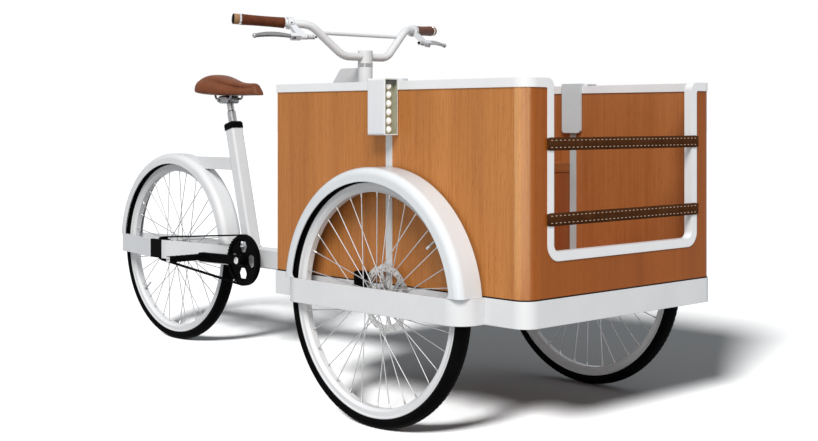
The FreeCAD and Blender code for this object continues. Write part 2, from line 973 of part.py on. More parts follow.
def fender_toe(name, edge, way):
    """Rounded corner where the outer flange meets the loop, ahead of the wheel or behind it."""
    low = float(bar_top - axle_z)
    radius = float(d.fender_toe_radius)
    lap = float(d.fender_toe_lap)
    reach = float(edge)
    centre_z = low + radius
    centre_x = math.sqrt((reach - radius) ** 2 - centre_z ** 2)
    touch = reach / (reach - radius)
    over = (reach + lap) / (reach - radius)
    foot = math.sqrt((reach + lap) ** 2 - low ** 2)
    body = new_body(name)
    side = outline(body, "XZ_Plane", [
        (front_x + way * centre_x, bar_top, -way * d.fender_toe_radius),
        (front_x + way * foot, bar_top),
        (front_x + way * centre_x * over, axle_z + centre_z * over),
        (front_x + way * centre_x * touch, axle_z + centre_z * touch),
    ], d.half_track + d.loop_offset - d.fender_thickness)
    pad(body, side, d.fender_thickness)
    return body


def front_fenders():
    crown = d.fender_radius
    inside = crown - d.fender_thickness
    edge = crown - d.fender_depth
    outer = -d.loop_offset
    skin = outer + d.fender_thickness
    turn_in = outer + d.fender_shoulder
    inner = d.half_track - sill_half - d.fender_box_gap
    body = new_body("front_fender_arch")
    profile = outline(body, "YZ_Plane", [
        (inner, crown),
        (turn_in, crown),
        (outer, crown - d.fender_shoulder, d.fender_shoulder),
        (outer, edge),
        (skin, edge),
        (skin, crown - d.fender_shoulder),
        (turn_in, inside, d.fender_thickness - d.fender_shoulder),
        (inner, inside),
    ])
    revolve(body, profile, "H_Axis", 180, symmetric=True)
    place(body, front_x, right_y, axle_z)
    arch = cut("front_fender_cut", body, below_bars("front_fender_base", front_x))
    toes = [fender_toe("fender_front_toe", edge, 1), fender_toe("fender_rear_toe", edge, -1)]
    pair(fuse("front_fender", arch, *toes), "front_fenders")


def rear_fender():
    crown = d.fender_radius
    inside = crown - d.fender_thickness
    edge = crown - d.fender_depth
    half = d.rear_fender_half_width
    skin = half - d.fender_thickness
    turn_in = half - d.fender_shoulder
    bend = crown - d.fender_shoulder
    round_in = d.fender_thickness - d.fender_shoulder
    body = new_body("rear_fender_arch")
    profile = outline(body, "YZ_Plane", [
        (turn_in, crown, d.fender_shoulder),
        (-turn_in, crown),
        (-half, bend, d.fender_shoulder),
        (-half, edge),
        (-skin, edge),
        (-skin, bend),
        (-turn_in, inside, round_in),
        (turn_in, inside),
        (skin, bend, round_in),
        (skin, edge),
        (half, edge),
        (half, bend),
    ])
    revolve(body, profile, "H_Axis", 180, symmetric=True)
    place(body, rear_x, 0, axle_z)
    node(cut("rear_fender", body, below_bars("rear_fender_base", rear_x)), "rear_fender")


# Cargo box

def box_shell():
    inner = box_half - d.wall
    body = new_body("shell")
    plan = outline(body, "XY_Plane", [
        (box_back, -box_half),
        (box_front, -box_half),
        (box_front, box_half),
        (box_back, box_half),
        (box_back, inner),
        (box_front - d.wall, inner),
        (box_front - d.wall, -inner),
        (box_back, -inner),
    ], bar_top)
    pad(body, plan, wall_top - bar_top)
    round_edges(body, d.corner_radius, upright(box_front, box_half))
    round_edges(body, d.corner_radius - d.wall, upright(box_front - d.wall, inner))
    half = d.opening_half_width - d.trim_height + d.trim_web
    low = d.opening_bottom + d.trim_height - d.trim_web
    mouth = outline(body, "YZ_Plane", rectangle(-half, low, half, d.rim_top + d.wall), box_front)
    pocket(body, mouth, d.wall * 2, symmetric=True)
    round_edges(body, d.opening_corner - d.trim_height + d.trim_web, lengthwise(half, low))
    round_edges(body, d.opening_top_corner - d.trim_web, lengthwise(half, wall_top))
    return node(body, "box_shell")


def box_rear_panel():
    inner = box_half - d.wall
    panel = block("rear_panel", box_back, -inner, bar_top, box_back + d.wall, inner, wall_top)
    return node(panel, "box_back")


def rim_trim(shell, back):
    inset = d.trim_skin
    low = d.rim_top - d.trim_height
    ring = new_body("trim_ring")
    outer_half = box_half + inset
    inner_half = outer_half - trim_depth
    rear = box_back - inset
    edge = outline(ring, "XY_Plane", rectangle(rear, -outer_half, trim_front, outer_half), low)
    pad(ring, edge, d.trim_height)
    round_edges(ring, d.corner_radius + inset, upright(trim_front, outer_half))
    inner_front = trim_front - trim_depth
    hollow = rectangle(rear + trim_depth, -inner_half, inner_front, inner_half)
    pocket(ring, outline(ring, "XY_Plane", hollow, d.rim_top), d.trim_height)
    round_edges(ring, d.corner_radius + inset - trim_depth, upright(inner_front, inner_half))
    clear_half = d.opening_half_width - d.trim_height
    gap = rectangle(inner_front - inset, -clear_half, trim_front + inset, clear_half)
    pocket(ring, outline(ring, "XY_Plane", gap, d.rim_top), d.trim_height)
    frame_low = d.opening_bottom
    bar = d.trim_height
    half = d.opening_half_width
    frame = outline(ring, "YZ_Plane", [
        (-half, d.rim_top),
        (-half, frame_low),
        (half, frame_low),
        (half, d.rim_top),
        (clear_half, d.rim_top),
        (clear_half, frame_low + bar),
        (-clear_half, frame_low + bar),
        (-clear_half, d.rim_top),
    ], inner_front)
    pad(ring, frame, trim_depth)
    round_edges(ring, d.opening_corner, lengthwise(half, frame_low))
    round_edges(ring, d.opening_corner - bar, lengthwise(clear_half, frame_low + bar))
    round_edges(ring, d.opening_top_corner, lengthwise(clear_half, d.rim_top))
    round_edges(ring, d.trim_throat_radius, lengthwise(half, low))
    walls = fuse("trim_slot", shell, back)
    node(cut("trim", ring, walls), "rim_trim")


def floor_panels():
    half = box_half - d.wall - d.floor_inset
    front_edge = box_front - d.wall - d.floor_front_gap
    rear_edge = box_back + d.wall
    bench_face = front_x - d.bench_front_setback
    panel_back = bench_face - d.bench_overhang - d.bench_panel
    front = new_body("front_floor")
    plan = rectangle(bench_face + d.floor_front_gap / 4, -half, front_edge, half)
    pad(front, outline(front, "XY_Plane", plan, bar_top), d.floor_thickness)
    round_edges(front, d.corner_radius - d.wall, upright(front_edge, half))
    rear = block("rear_floor", rear_edge, -half, bar_top, panel_back, half, bar_top + d.floor_thickness)
    node(group("floor_boards", front, rear), "floor_panels")


def bench():
    inner = box_half - d.wall
    rear = box_back + d.wall
    face = front_x - d.bench_front_setback
    body = new_body("bench_board")
    low = d.bench_top - d.bench_thickness
    pad(body, outline(body, "XY_Plane", rectangle(rear, -inner, face, inner), low), d.bench_thickness)
    round_edges(body, d.bench_nose, lambda middle, way: near(middle.x, face) and abs(way.y) > 0.999)
    node(body, "bench_seat")
    panel_face = face - d.bench_overhang
    panel = block("bench_board_front", panel_face - d.bench_panel, -inner, bar_top, panel_face, inner, low)
    node(panel, "bench_front")


def entry_straps():
    half = d.opening_half_width + d.strap_lap
    straps = []
    for name, height in (("upper_strap", d.upper_strap_height), ("lower_strap", d.lower_strap_height)):
        body = new_body(name)
        low = height - d.strap_width / 2
        high = height + d.strap_width / 2
        pad(body, outline(body, "YZ_Plane", rectangle(-half, low, half, high), trim_front), d.strap_thickness)
        round_edges(body, d.strap_end_radius, lambda middle, way: abs(way.x) > 0.999)
        straps.append(body)
    node(group("straps", *straps), "entry_straps")


# Side lamps, hooked over the rim, on flat posts down both faces of the wall

def lamps():
    rim_outer = -box_half - d.trim_skin - d.lamp_slot_clearance
    rim_inner = -box_half + d.wall + d.trim_skin + d.lamp_slot_clearance
    outer = rim_outer - d.lamp_depth
    inner = rim_inner + d.lamp_plate
    housing = new_body("lamp")
    profile = outline(housing, "YZ_Plane", [
        (outer, d.lamp_bottom),
        (rim_outer, d.lamp_bottom),
        (rim_outer, d.rim_top),
        (rim_inner, d.rim_top),
        (rim_inner, d.lamp_bottom),
        (inner, d.lamp_bottom),
        (inner, d.lamp_top),
        (outer, d.lamp_top),
    ], front_x)
    pad(housing, profile, d.lamp_width, symmetric=True)
    face = front_x + d.lamp_width / 2

    def outer_corner(middle, way):
        return near(middle.y, outer) and (abs(way.z) > 0.999 or abs(way.x) > 0.999)

    def plate_corner(middle, way):
        return near(middle.z, d.lamp_bottom) and abs(way.y) > 0.999 and middle.y > float(rim_outer)

    round_edges(housing, d.lamp_round, outer_corner)
    round_edges(housing, d.lamp_plate_round, plate_corner)
    middle_y = (outer + rim_outer) / 2
    middle_z = (d.lamp_bottom + d.lamp_top) / 2
    low = middle_z - d.bezel_height / 2
    high = middle_z + d.bezel_height / 2
    left = middle_y - d.bezel_width / 2
    right = middle_y + d.bezel_width / 2
    recess = outline(housing, "YZ_Plane", rectangle(left, low, right, high), face)
    pocket(housing, recess, d.bezel_depth)
    pair(housing, "lamp_housings")

    bezel = new_body("bezel")
    plate = outline(bezel, "YZ_Plane", rectangle(left, low, right, high), face - d.bezel_depth)
    pad(bezel, plate, d.bezel_depth)
    wall = d.bezel_wall
    tray = rectangle(left + wall, low + wall, right - wall, high - wall)
    pocket(bezel, outline(bezel, "YZ_Plane", tray, face), d.bezel_depth - d.bezel_base)
    first_led = middle_z - d.led_drop - d.led_pitch * (d.led_count - 1) / 2
    hole = circle(bezel, "YZ_Plane", d.led_radius + d.led_clearance, middle_y, first_led, face)
    drilled = pocket(bezel, hole, d.bezel_depth)
    along(bezel, drilled, hole, "V_Axis", d.led_pitch * (d.led_count - 1), d.led_count)
    pair(bezel, "lamp_bezels")

    led = new_body("led")
    half = d.led_radius
    skirt = d.bezel_base
    dome = (half * half + d.led_dome * d.led_dome) / (2 * d.led_dome)
    section = outline(led, "XZ_Plane", [
        (0, 0),
        (half, 0),
        (half, skirt),
        (0, skirt + d.led_dome, dome),
    ])
    revolve(led, section, "V_Axis")
    doc.recompute()
    spots = []
    for index in range(int(float(d.led_count))):
        height = float(first_led + d.led_pitch * index)
        spot = led.Shape.copy()
        at = Vector(float(face - d.bezel_depth), float(middle_y), height)
        spot.Placement = Placement(at, Rotation(Vector(0, 1, 0), 90))
        spots.append(spot)
    row = feature("led_row", Part.makeCompound(spots))
    pair(row, "lamp_leds")

    half_post = d.post_width / 2
    outside = block(
        "outer_post", front_x - half_post, -box_half - d.post_thickness, bar_top,
        front_x + half_post, -box_half, d.lamp_bottom)
    inside = block(
        "inner_post", front_x - half_post, -box_half + d.wall, bar_top,
        front_x + half_post, -box_half + d.wall + d.post_thickness, d.lamp_bottom)
    pair(group("side_posts", outside, inside), "lamp_posts")


# Disc calipers, bolted to the sill behind each rotor

def calipers():
    middle = d.rotor_offset + d.rotor_thickness / 2
    inner = d.half_track - sill_half
    outer = middle - d.caliper_outer_gap - d.caliper_slot / 2
    x0 = front_x - d.caliper_x - d.caliper_length / 2
    x1 = front_x - d.caliper_x + d.caliper_length / 2
    z0 = axle_z + d.caliper_z - d.caliper_height / 2
    z1 = axle_z + d.caliper_z + d.caliper_height / 2
    body = new_body("caliper")
    side = outline(body, "XZ_Plane", rectangle(x0, z0, x1, z1), -right_y - outer)
    pad(body, side, inner - outer, reverse=True)
    round_edges(body, d.caliper_round, lambda middle_point, way: abs(way.y) > 0.999)
    slot_y0 = right_y + middle - d.caliper_slot / 2
    slot_y1 = right_y + middle + d.caliper_slot / 2
    foot = d.caliper_foot
    slot = outline(body, "YZ_Plane", rectangle(slot_y0, z0 - foot, slot_y1, z1 + foot), x1 + foot)
    pocket(body, slot, d.caliper_length)
    pair(body, "brake_calipers")


# Steering column

def steerer():
    ring_low = d.bar_bottom - d.lower_ring
    plate_top = ring_low - d.steer_gap
    plate_low = plate_top - d.yoke_thickness
    foot_back = sill_back + d.sill_lip
    foot_front = sill_back + d.sill_bar
    plate = new_body("yoke")
    side = outline(plate, "XZ_Plane", [
        (column_x - d.yoke_tail, plate_low),
        (foot_front, plate_low),
        (foot_front, d.bar_bottom),
        (foot_back, d.bar_bottom),
        (foot_back, plate_top),
        (column_x - d.yoke_tail, plate_top),
    ])
    pad(plate, side, d.yoke_width, symmetric=True)
    round_edges(plate, d.yoke_tail_round, upright(column_x - d.yoke_tail))
    shaft_top = stem_top - d.stem_cap
    shaft = rod("steerer_shaft", d.steerer_radius, shaft_top - plate_low, column_x, 0, plate_low)
    whole = fuse("steerer_blank", plate, shaft)
    bar_hole = cross_rod(
        "steerer_bar_hole", d.bar_radius + d.running_clearance, d.yoke_width,
        column_x, 0, bar_z)
    node(cut("steerer", whole, bar_hole), "steerer")


def stem():
    body = new_body("stem_body")
    bore = d.steerer_radius + d.running_clearance
    bore_top = stem_top - d.stem_cap
    section = outline(body, "XZ_Plane", [
        (bore, stem_low),
        (d.column_radius, stem_low),
        (d.column_radius, stem_top - d.stem_round),
        (d.column_radius - d.stem_round, stem_top, d.stem_round),
        (0, stem_top),
        (0, bore_top),
        (bore, bore_top),
    ])
    revolve(body, section, "V_Axis")
    place(body, column_x, 0, 0)
    bar_hole = cross_rod(
        "stem_bar_hole", d.bar_radius + d.running_clearance, d.yoke_width,
        column_x, 0, bar_z)
    node(cut("stem", body, bar_hole), "stem")


def head_tube():
    body = new_body("column")
    tube = outline(body, "XZ_Plane", [
        (d.column_bore_radius, d.bar_bottom),
        (d.column_radius, d.bar_bottom),
        (d.column_radius, d.column_top),
        (d.column_bore_radius, d.column_top),
    ])
    revolve(body, tube, "V_Axis")
    node(place(body, column_x, 0, 0), "head_tube")


def headset_bearings():
    bore = d.steerer_radius + d.running_clearance
    rings = []
    upper = [
        (bore, d.column_top - d.headset_sleeve),
        (d.column_bore_radius, d.column_top - d.headset_sleeve),
        (d.column_bore_radius, d.column_top),
        (d.headset_ring_radius, d.column_top),
        (d.headset_ring_radius, d.column_top + d.headset_ring),
        (bore, d.column_top + d.headset_ring),
    ]
    lower = [
        (bore, d.bar_bottom + d.headset_sleeve),
        (d.column_bore_radius, d.bar_bottom + d.headset_sleeve),
        (d.column_bore_radius, d.bar_bottom),
        (d.headset_ring_radius, d.bar_bottom),
        (d.headset_ring_radius, d.bar_bottom - d.lower_ring),
        (bore, d.bar_bottom - d.lower_ring),
    ]
    for name, corners in (("upper_bearing", upper), ("lower_bearing", lower)):
        body = new_body(name)
        revolve(body, outline(body, "XZ_Plane", corners), "V_Axis")
        rings.append(place(body, column_x, 0, 0))
    node(group("bearings", *rings), "headset_bearings")


# Handlebar, grips and brake levers

def bent_path(points, radius):
    """Straight runs joined by tangent arcs of one radius."""
    edges = []
    start = points[0]
    for before, corner, after in zip(points, points[1:], points[2:]):
        into = (corner - before).normalize()
        out = (after - corner).normalize()
        turn_angle = into.getAngle(out)
        setback = radius * math.tan(turn_angle / 2)
        arc_start = corner - into * setback
        arc_end = corner + out * setback
        bisector = (out - into).normalize()
        middle = corner + bisector * (radius / math.cos(turn_angle / 2) - radius)
        edges.append(Part.LineSegment(start, arc_start).toShape())
        edges.append(Part.Arc(arc_start, middle, arc_end).toShape())
        start = arc_end
    edges.append(Part.LineSegment(start, points[-1]).toShape())
    return Part.Wire(edges)


def tube_along(path, radius):
    first = path.OrderedEdges[0]
    start = first.valueAt(first.FirstParameter)
    way = first.tangentAt(first.FirstParameter)
    ring = Part.Wire(Part.makeCircle(radius, start, way))
    return path.makePipeShell([ring], True, False)


def bar_points():
    """Left half of the bar: lower bend, upper bend and end."""
    x = float(column_x)
    z = float(bar_z)
    lower = Vector(x, float(d.bar_lower_half), z)
    upper = Vector(x - float(d.bar_setback), float(d.bar_upper_half), z + float(d.bar_rise))
    end = Vector(
        x - float(d.grip_end_setback), float(d.grip_end_half), z + float(d.grip_end_rise))
    return lower, upper, end


def across(point):
    return Vector(point.x, -point.y, point.z)


def handlebar():
    lower, upper, end = bar_points()
    way = (end - upper).normalize()
    tip = end - way * float(d.grip_cap)
    points = [tip, upper, lower, across(lower), across(upper), across(tip)]
    bar = tube_along(bent_path(points, float(d.bar_bend_radius)), float(d.bar_radius))
    share = float(d.crossbar_rise) / float(d.bar_rise)
    weld = lower + (upper - lower) * share
    brace = Part.makeCylinder(float(d.crossbar_radius), weld.y * 2, across(weld), Vector(0, 1, 0))
    node(feature("handlebar", bar.fuse(brace).removeSplitter()), "handlebar")


def grips():
    lower, upper, end = bar_points()
    way = (end - upper).normalize()
    start = end - way * float(d.grip_length)
    radius = float(d.grip_radius)
    sleeve = Part.makeCylinder(radius, float(d.grip_length), start, way)
    bore = Part.makeCylinder(
        float(d.bar_radius + d.running_clearance), float(d.grip_length - d.grip_cap), start, way)
    grip = sleeve.cut(bore)
    rims = [edge for edge in grip.Edges if near(edge.Length, 2 * math.pi * radius)]
    pair(feature("grip", grip.makeFillet(float(d.grip_cap) / 2, rims)), "grips")


def lever_frame():
    """Left lever's pivot frame: X along the blade, Y towards the grip, Z along the pin."""
    lower, upper, end = bar_points()
    x = float(column_x)
    z = float(bar_z + d.lever_pivot_rise)
    pivot = Vector(x - float(d.lever_pivot_setback), float(d.lever_pivot_half), z)
    tip = Vector(x - float(d.lever_tip_setback), float(d.lever_tip_half), z)
    blade = (tip - pivot).normalize()
    way = (end - upper).normalize()
    on_bar = upper + way * ((pivot + tip) * 0.5 - upper).dot(way)
    towards = on_bar - (pivot + tip) * 0.5
    towards = (towards - blade * towards.dot(blade)).normalize()
    pin = blade.cross(towards)
    turn_to = Rotation(blade, towards, pin, "ZXY")
    return Placement(pivot, turn_to), (tip - pivot).Length


def lever_blades():
    frame, reach = lever_frame()
    half = float(d.lever_hub_height) / 2
    thick = float(d.lever_blade_thickness)
    wide = float(d.lever_blade_width) / 2
    bow = float(d.lever_blade_bow)
    end = reach - float(d.lever_knob_radius)
    slim = wide * 0.6
    outer = Part.Arc(Vector(0, -slim, 0), Vector(end / 2, bow - wide, 0), Vector(end, -slim, 0))
    inner = Part.Arc(Vector(end, slim, 0), Vector(end / 2, wide + bow, 0), Vector(0, slim, 0))
    sides = [
        outer.toShape(),
        Part.LineSegment(outer.EndPoint, inner.StartPoint).toShape(),
        inner.toShape(),
        Part.LineSegment(inner.EndPoint, outer.StartPoint).toShape(),
    ]
    face = Part.Face(Part.Wire(sides))
    face.translate(Vector(0, 0, -thick / 2))
    blade = face.extrude(Vector(0, 0, thick))
    eye = Part.makeCylinder(float(d.lever_hub_radius), half * 2, Vector(0, 0, -half))
    knob = Part.makeSphere(float(d.lever_knob_radius), Vector(end, 0, 0))
    bore = Part.makeCylinder(
        float(d.lever_pin_radius + d.running_clearance), half * 4, Vector(0, 0, -half * 2))
    lever = eye.fuse([blade, knob]).cut(bore).removeSplitter()
    left = feature("left_lever_blade", lever)
    left.Placement = frame
    node(left, "left_brake_lever")
    node(mirrored(left, "right_lever_blade"), "right_brake_lever")


def lever_clamps():
    frame, reach = lever_frame()
    lower, upper, end = bar_points()
    way = (end - upper).normalize()
    clamp_at = upper + way * ((float(d.lever_clamp_half) - upper.y) / way.y)
    half = float(d.lever_hub_height) / 2 + float(d.lever_side_gap)
    ear = float(d.lever_ear)
    eye = float(d.lever_hub_radius)
    pin = Part.makeCylinder(float(d.lever_pin_radius), (half + ear) * 2, Vector(0, 0, -half - ear))
    depth = eye * 3
    height = (half + ear) * 2
    slot_back = -eye - float(d.lever_eye_room)
    ears = Part.makeBox(depth + eye, eye * 2, height, Vector(-depth, -eye, -half - ear))
    room = Part.makeBox(depth, eye * 4, half * 2, Vector(slot_back, -eye * 2, -half))
    perch_end = float(d.perch_length)
    web_start = float(d.perch_web_start)
    inwards = Vector(-1, 0, 0)
    barrel = Part.makeCylinder(
        float(d.perch_radius), perch_end - web_start, Vector(-web_start, 0, 0), inwards)
    adjuster = Part.makeCylinder(
        float(d.adjuster_radius), float(d.adjuster_length), Vector(-perch_end, 0, 0), inwards)
    perch = ears.cut(room).fuse([pin, barrel, adjuster])
    perch.Placement = frame

    web = float(d.perch_web_thickness) / 2
    pin_way = frame.Rotation.multVec(Vector(0, 0, web))
    foot = [frame.multVec(Vector(-at, 0, 0)) for at in (web_start, perch_end)]
    head = [clamp_at + way * at for at in (eye, -eye)]
    frames = []
    for near_end, far_end in (foot, head):
        corners = [near_end + pin_way, near_end - pin_way, far_end - pin_way, far_end + pin_way]
        frames.append(Part.makePolygon(corners + corners[:1]))
    arm = Part.makeLoft(frames, True, True)
    length = float(d.lever_clamp_length)
    ring = Part.makeCylinder(float(d.lever_clamp_radius), length, clamp_at - way * (length / 2), way)
    hole = Part.makeCylinder(
        float(d.bar_radius + d.running_clearance), length * 4, clamp_at - way * (length * 2), way)
    body = perch.fuse([arm, ring]).cut(hole).removeSplitter()
    left = feature("left_lever_clamp", body)
    node(group("lever_clamp_pair", left, mirrored(left, "right_lever_clamp")), "lever_clamps")


# Rear frame

def column_tool(name):
    return rod(name, d.column_radius, d.column_top, column_x, 0, 0)


def main_beam():
    half = d.beam_width / 2
    front = column_x - d.column_weld_inset
    length = front - (bb_x - d.beam_tail)
    body = new_body("beam")
    section = outline(body, "YZ_Plane", rectangle(-half, d.bar_bottom, half, bar_top), front)
    pad(body, section, length, reverse=True)
    round_edges(body, d.beam_round, lengthwise())
    wall = d.beam_wall
    core = rectangle(wall - half, d.bar_bottom + wall, half - wall, bar_top - wall)
    pocket(body, outline(body, "YZ_Plane", core, front), length)
    seat = circle(body, "XZ_Plane", d.bb_shell_radius, bb_x, d.bb_height)
    pocket(body, seat, d.beam_width * 2, symmetric=True)
    node(cut("beam_mitred", body, column_tool("beam_mitre")), "main_beam")


def head_gusset():
    body = new_body("fin")
    top = d.column_top - d.gusset_top
    web = outline(body, "XZ_Plane", [
        (column_x, bar_top),
        (column_x, top),
        (column_x - d.gusset_top_length, top),
        (column_x - d.gusset_corner_length, top - d.gusset_corner_height),
        (column_x - d.gusset_foot_length, bar_top, -d.gusset_sweep_radius),
    ])
    pad(body, web, d.gusset_thickness, symmetric=True)

    def top_corner(middle, way):
        at_x = near(middle.x, column_x - d.gusset_top_length)
        return abs(way.y) > 0.999 and at_x and near(middle.z, top)

    round_edges(body, d.gusset_corner_round, top_corner)
    node(cut("fin_mitred", body, column_tool("fin_mitre")), "head_gusset")


def bottom_bracket_shell():
    half = d.bb_shell_width / 2
    cup = half - d.bb_cup
    tight = d.spindle_radius + d.running_clearance
    body = new_body("shell_tube")
    section = outline(body, "YZ_Plane", [
        (-half, tight),
        (-half, d.bb_shell_radius),
        (half, d.bb_shell_radius),
        (half, tight),
        (cup, tight),
        (cup, d.bb_bore_radius),
        (-cup, d.bb_bore_radius),
        (-cup, tight),
    ])
    revolve(body, section, "H_Axis")
    node(place(body, bb_x, 0, d.bb_height), "bottom_bracket_shell")


def stay_bars():
    root = bb_x - d.stay_root_setback
    flare = root - d.stay_lap
    wide_front = rear_x + d.stay_wide_front
    wide_rear = rear_x - d.stay_wide_rear
    thick = d.stay_thickness
    narrow = d.beam_width / 2
    tail = rear_x - rear_reach + d.tail_radius
    outer = d.stay_half_width
    inner = outer - thick
    tail_out = d.tail_radius
    tail_in = tail_out - thick
    body = new_body("stay_loop")
    plan = outline(body, "XY_Plane", [
        (root, -narrow),
        (flare, -narrow),
        (wide_front, -inner),
        (wide_rear, -inner),
        (tail, -tail_in),
        (tail - tail_in, 0, -tail_in),
        (tail, tail_in, -tail_in),
        (wide_rear, inner),
        (wide_front, inner),
        (flare, narrow),
        (root, narrow),
        (root, narrow + thick),
        (flare, narrow + thick),
        (wide_front, outer),
        (wide_rear, outer),
        (tail, tail_out),
        (tail - tail_out, 0, tail_out),
        (tail, -tail_out, tail_out),
        (wide_rear, -outer),
        (wide_front, -outer),
        (flare, -narrow - thick),
        (root, -narrow - thick),
    ], d.bar_bottom)
    pad(body, plan, d.bar_height)
    for bend in (flare, wide_front, wide_rear):
        round_edges(body, d.stay_bend_round, upright(bend))
    hole = circle(body, "XZ_Plane", d.rear_axle_radius, rear_x, axle_z)
    pocket(body, hole, d.stay_half_width * 3, symmetric=True)
    block_front = rear_x + d.block_front
    block_rear = block_front - d.block_length
    gate = block("stay_gate", block_rear, -outer * 1.5, 0, block_front, 0, bar_top * 2)
    node(cut("stays", body, gate), "stay_bars")

    insert = block("gate_block", block_rear, -outer, d.bar_bottom, block_front, -inner, bar_top)
    depth = outer - d.axle_cover
    axle_hole = cross_rod("gate_axle_hole", d.rear_axle_radius, depth, rear_x, -depth / 2, axle_z)
    node(cut("axle_gate", insert, axle_hole), "axle_block")


# Seat, all on the axis of the leaning seat tube

seat_x = bb_x - d.seat_tube_base_setback
lean = math.radians(float(d.seat_lean))
rise = math.tan(lean)


def on_seat_axis(obj):
    place(obj, seat_x, 0, bar_top)
    return turn(obj, Vector(0, -1, 0), d.seat_lean)


def seat_tube():
    half = d.seat_tube_side / 2
    body = new_body("seat_mast")
    square = outline(body, "XY_Plane", rectangle(-half, -half, half, half), -half)
    pad(body, square, d.seat_tube_length + half)
    round_edges(body, d.seat_tube_round, upright())
    bore = circle(body, "XY_Plane", d.seatpost_radius + d.running_clearance, lift=d.seat_tube_length)
    pocket(body, bore, d.seatpost_insert + d.seatpost_spare)
    on_seat_axis(body)
    side = d.seat_tube_side
    foot = block("seat_mitre", seat_x - side, -side, 0, seat_x + side, side, bar_top)
    node(cut("seat_mast_mitred", body, foot), "seat_tube")


def seat_collar():
    half = d.collar_side / 2
    body = new_body("collar")
    square = outline(body, "XY_Plane", rectangle(-half, -half, half, half), d.seat_tube_length)
    pad(body, square, d.collar_height)
    round_edges(body, d.seat_tube_round, upright())
    top = d.seat_tube_length + d.collar_height

    doc.recompute()
    base = body.Tip
    names = []
    for index, edge in enumerate(base.Shape.Edges, start=1):
        if near(edge.BoundBox.ZMin, top):
            names.append(f"Edge{index}")
    bevel = body.newObject("PartDesign::Chamfer", "bevel")
    bevel.Base = (base, names)
    bind(bevel, "Size", d.collar_taper)
    bore = circle(body, "XY_Plane", d.seatpost_radius + d.running_clearance, lift=top)
    pocket(body, bore, d.collar_height)
    node(on_seat_axis(body), "seat_collar")


def seatpost():
    low = d.seat_tube_length - d.seatpost_insert
    step = d.seat_tube_length + d.seatpost_step
    top = d.seat_tube_length + d.seatpost_exposed
    body = new_body("post")
    section = outline(body, "XZ_Plane", [
        (0, low),
        (d.seatpost_radius, low),
        (d.seatpost_radius, step),
        (d.seatpost_top_radius, step + d.seatpost_taper),
        (d.seatpost_top_radius, top),
        (0, top),
    ])
    revolve(body, section, "V_Axis")
    node(on_seat_axis(body), "seatpost")


def saddle_clamp():
    top = d.seat_tube_length + d.seatpost_exposed
    head = new_body("clamp_head")
    half = d.clamp_length / 2
    wide = d.clamp_width / 2
    plan = outline(head, "XY_Plane", rectangle(-half, -wide, half, wide), top - d.clamp_height)
    pad(head, plan, d.clamp_height)
    round_edges(head, d.clamp_round, upright())
    bore = circle(head, "XY_Plane", d.seatpost_top_radius, lift=top)
    pocket(head, bore, d.clamp_height)
    on_seat_axis(head)
    doc.recompute()
    saddle_z = float(d.saddle_bottom)
    rail_z = saddle_z - float(d.rail_drop)
    post_x = float(seat_x) - rise * (rail_z - float(bar_top))
    front = post_x + float(d.rail_front_reach)
    back = front - float(d.rail_length)
    gap = float(d.rail_half_gap)
    radius = float(d.rail_radius)
    bend = radius * 2
    rails = []
    for side in (-1, 1):
        route = [
            Vector(front, side * gap, saddle_z),
            Vector(front, side * gap, rail_z - bend),
            Vector(back, side * gap, rail_z - bend),
            Vector(back, side * gap, saddle_z),
        ]
        rails.append(tube_along(bent_path(route, bend), radius))
    node(feature("saddle_clamp", head.Shape.fuse(rails).removeSplitter()), "saddle_clamp")


def saddle_section(x, half, height, crown, base_share):
    """Crown, rounded shoulders, drawn-in sides and a flat base."""
    z = float(d.saddle_bottom)
    base = half * base_share
    shoulder = half * 0.72
    edge = z + height - crown
    belly = z + (height - crown) * 0.55
    corner = [
        Vector(x, -base, z),
        Vector(x, -half, belly),
        Vector(x, -shoulder, edge),
        Vector(x, shoulder, edge),
        Vector(x, half, belly),
        Vector(x, base, z),
    ]
    side = Vector(x, -(base + half) / 2 * 1.01, z + (belly - z) * 0.45)
    cheek = Vector(x, -half * 0.93, belly + (edge - belly) * 0.62)
    edges = [
        Part.Arc(corner[0], side, corner[1]),
        Part.Arc(corner[1], cheek, corner[2]),
        Part.Arc(corner[2], Vector(x, 0, z + height), corner[3]),
        Part.Arc(corner[3], across(cheek), corner[4]),
        Part.Arc(corner[4], across(side), corner[5]),
        Part.LineSegment(corner[5], corner[0]),
    ]
    return Part.Wire([edge.toShape() for edge in edges])


def saddle():
    nose = float(bb_x) + float(d.saddle_nose_reach) - float(d.seat_tube_base_setback)
    length = float(d.saddle_length)
    wide = float(d.saddle_rear_half_width)
    slim = float(d.saddle_nose_half_width)
    tall = float(d.saddle_rear_height)
    low = float(d.saddle_nose_height)
    stations = [
        (0.00, slim * 0.45, low * 0.70, low * 0.12, 0.80),
        (0.04, slim * 0.85, low * 0.95, low * 0.18, 0.80),
        (0.25, slim * 1.10, low * 1.02, low * 0.22, 0.84),
        (0.50, (slim + wide) * 0.42, low * 1.08, low * 0.24, 0.86),
        (0.72, wide * 0.82, (low + tall) * 0.52, low * 0.26, 0.88),
        (0.90, wide, tall, low * 0.30, 0.88),
        (1.00, wide * 0.72, tall * 0.86, low * 0.26, 0.86),
    ]
    sections = [
        saddle_section(nose - length * share, half, height, crown, base)
        for share, half, height, crown, base in stations
    ]
    node(feature("saddle", Part.makeLoft(sections, True, False)), "saddle")


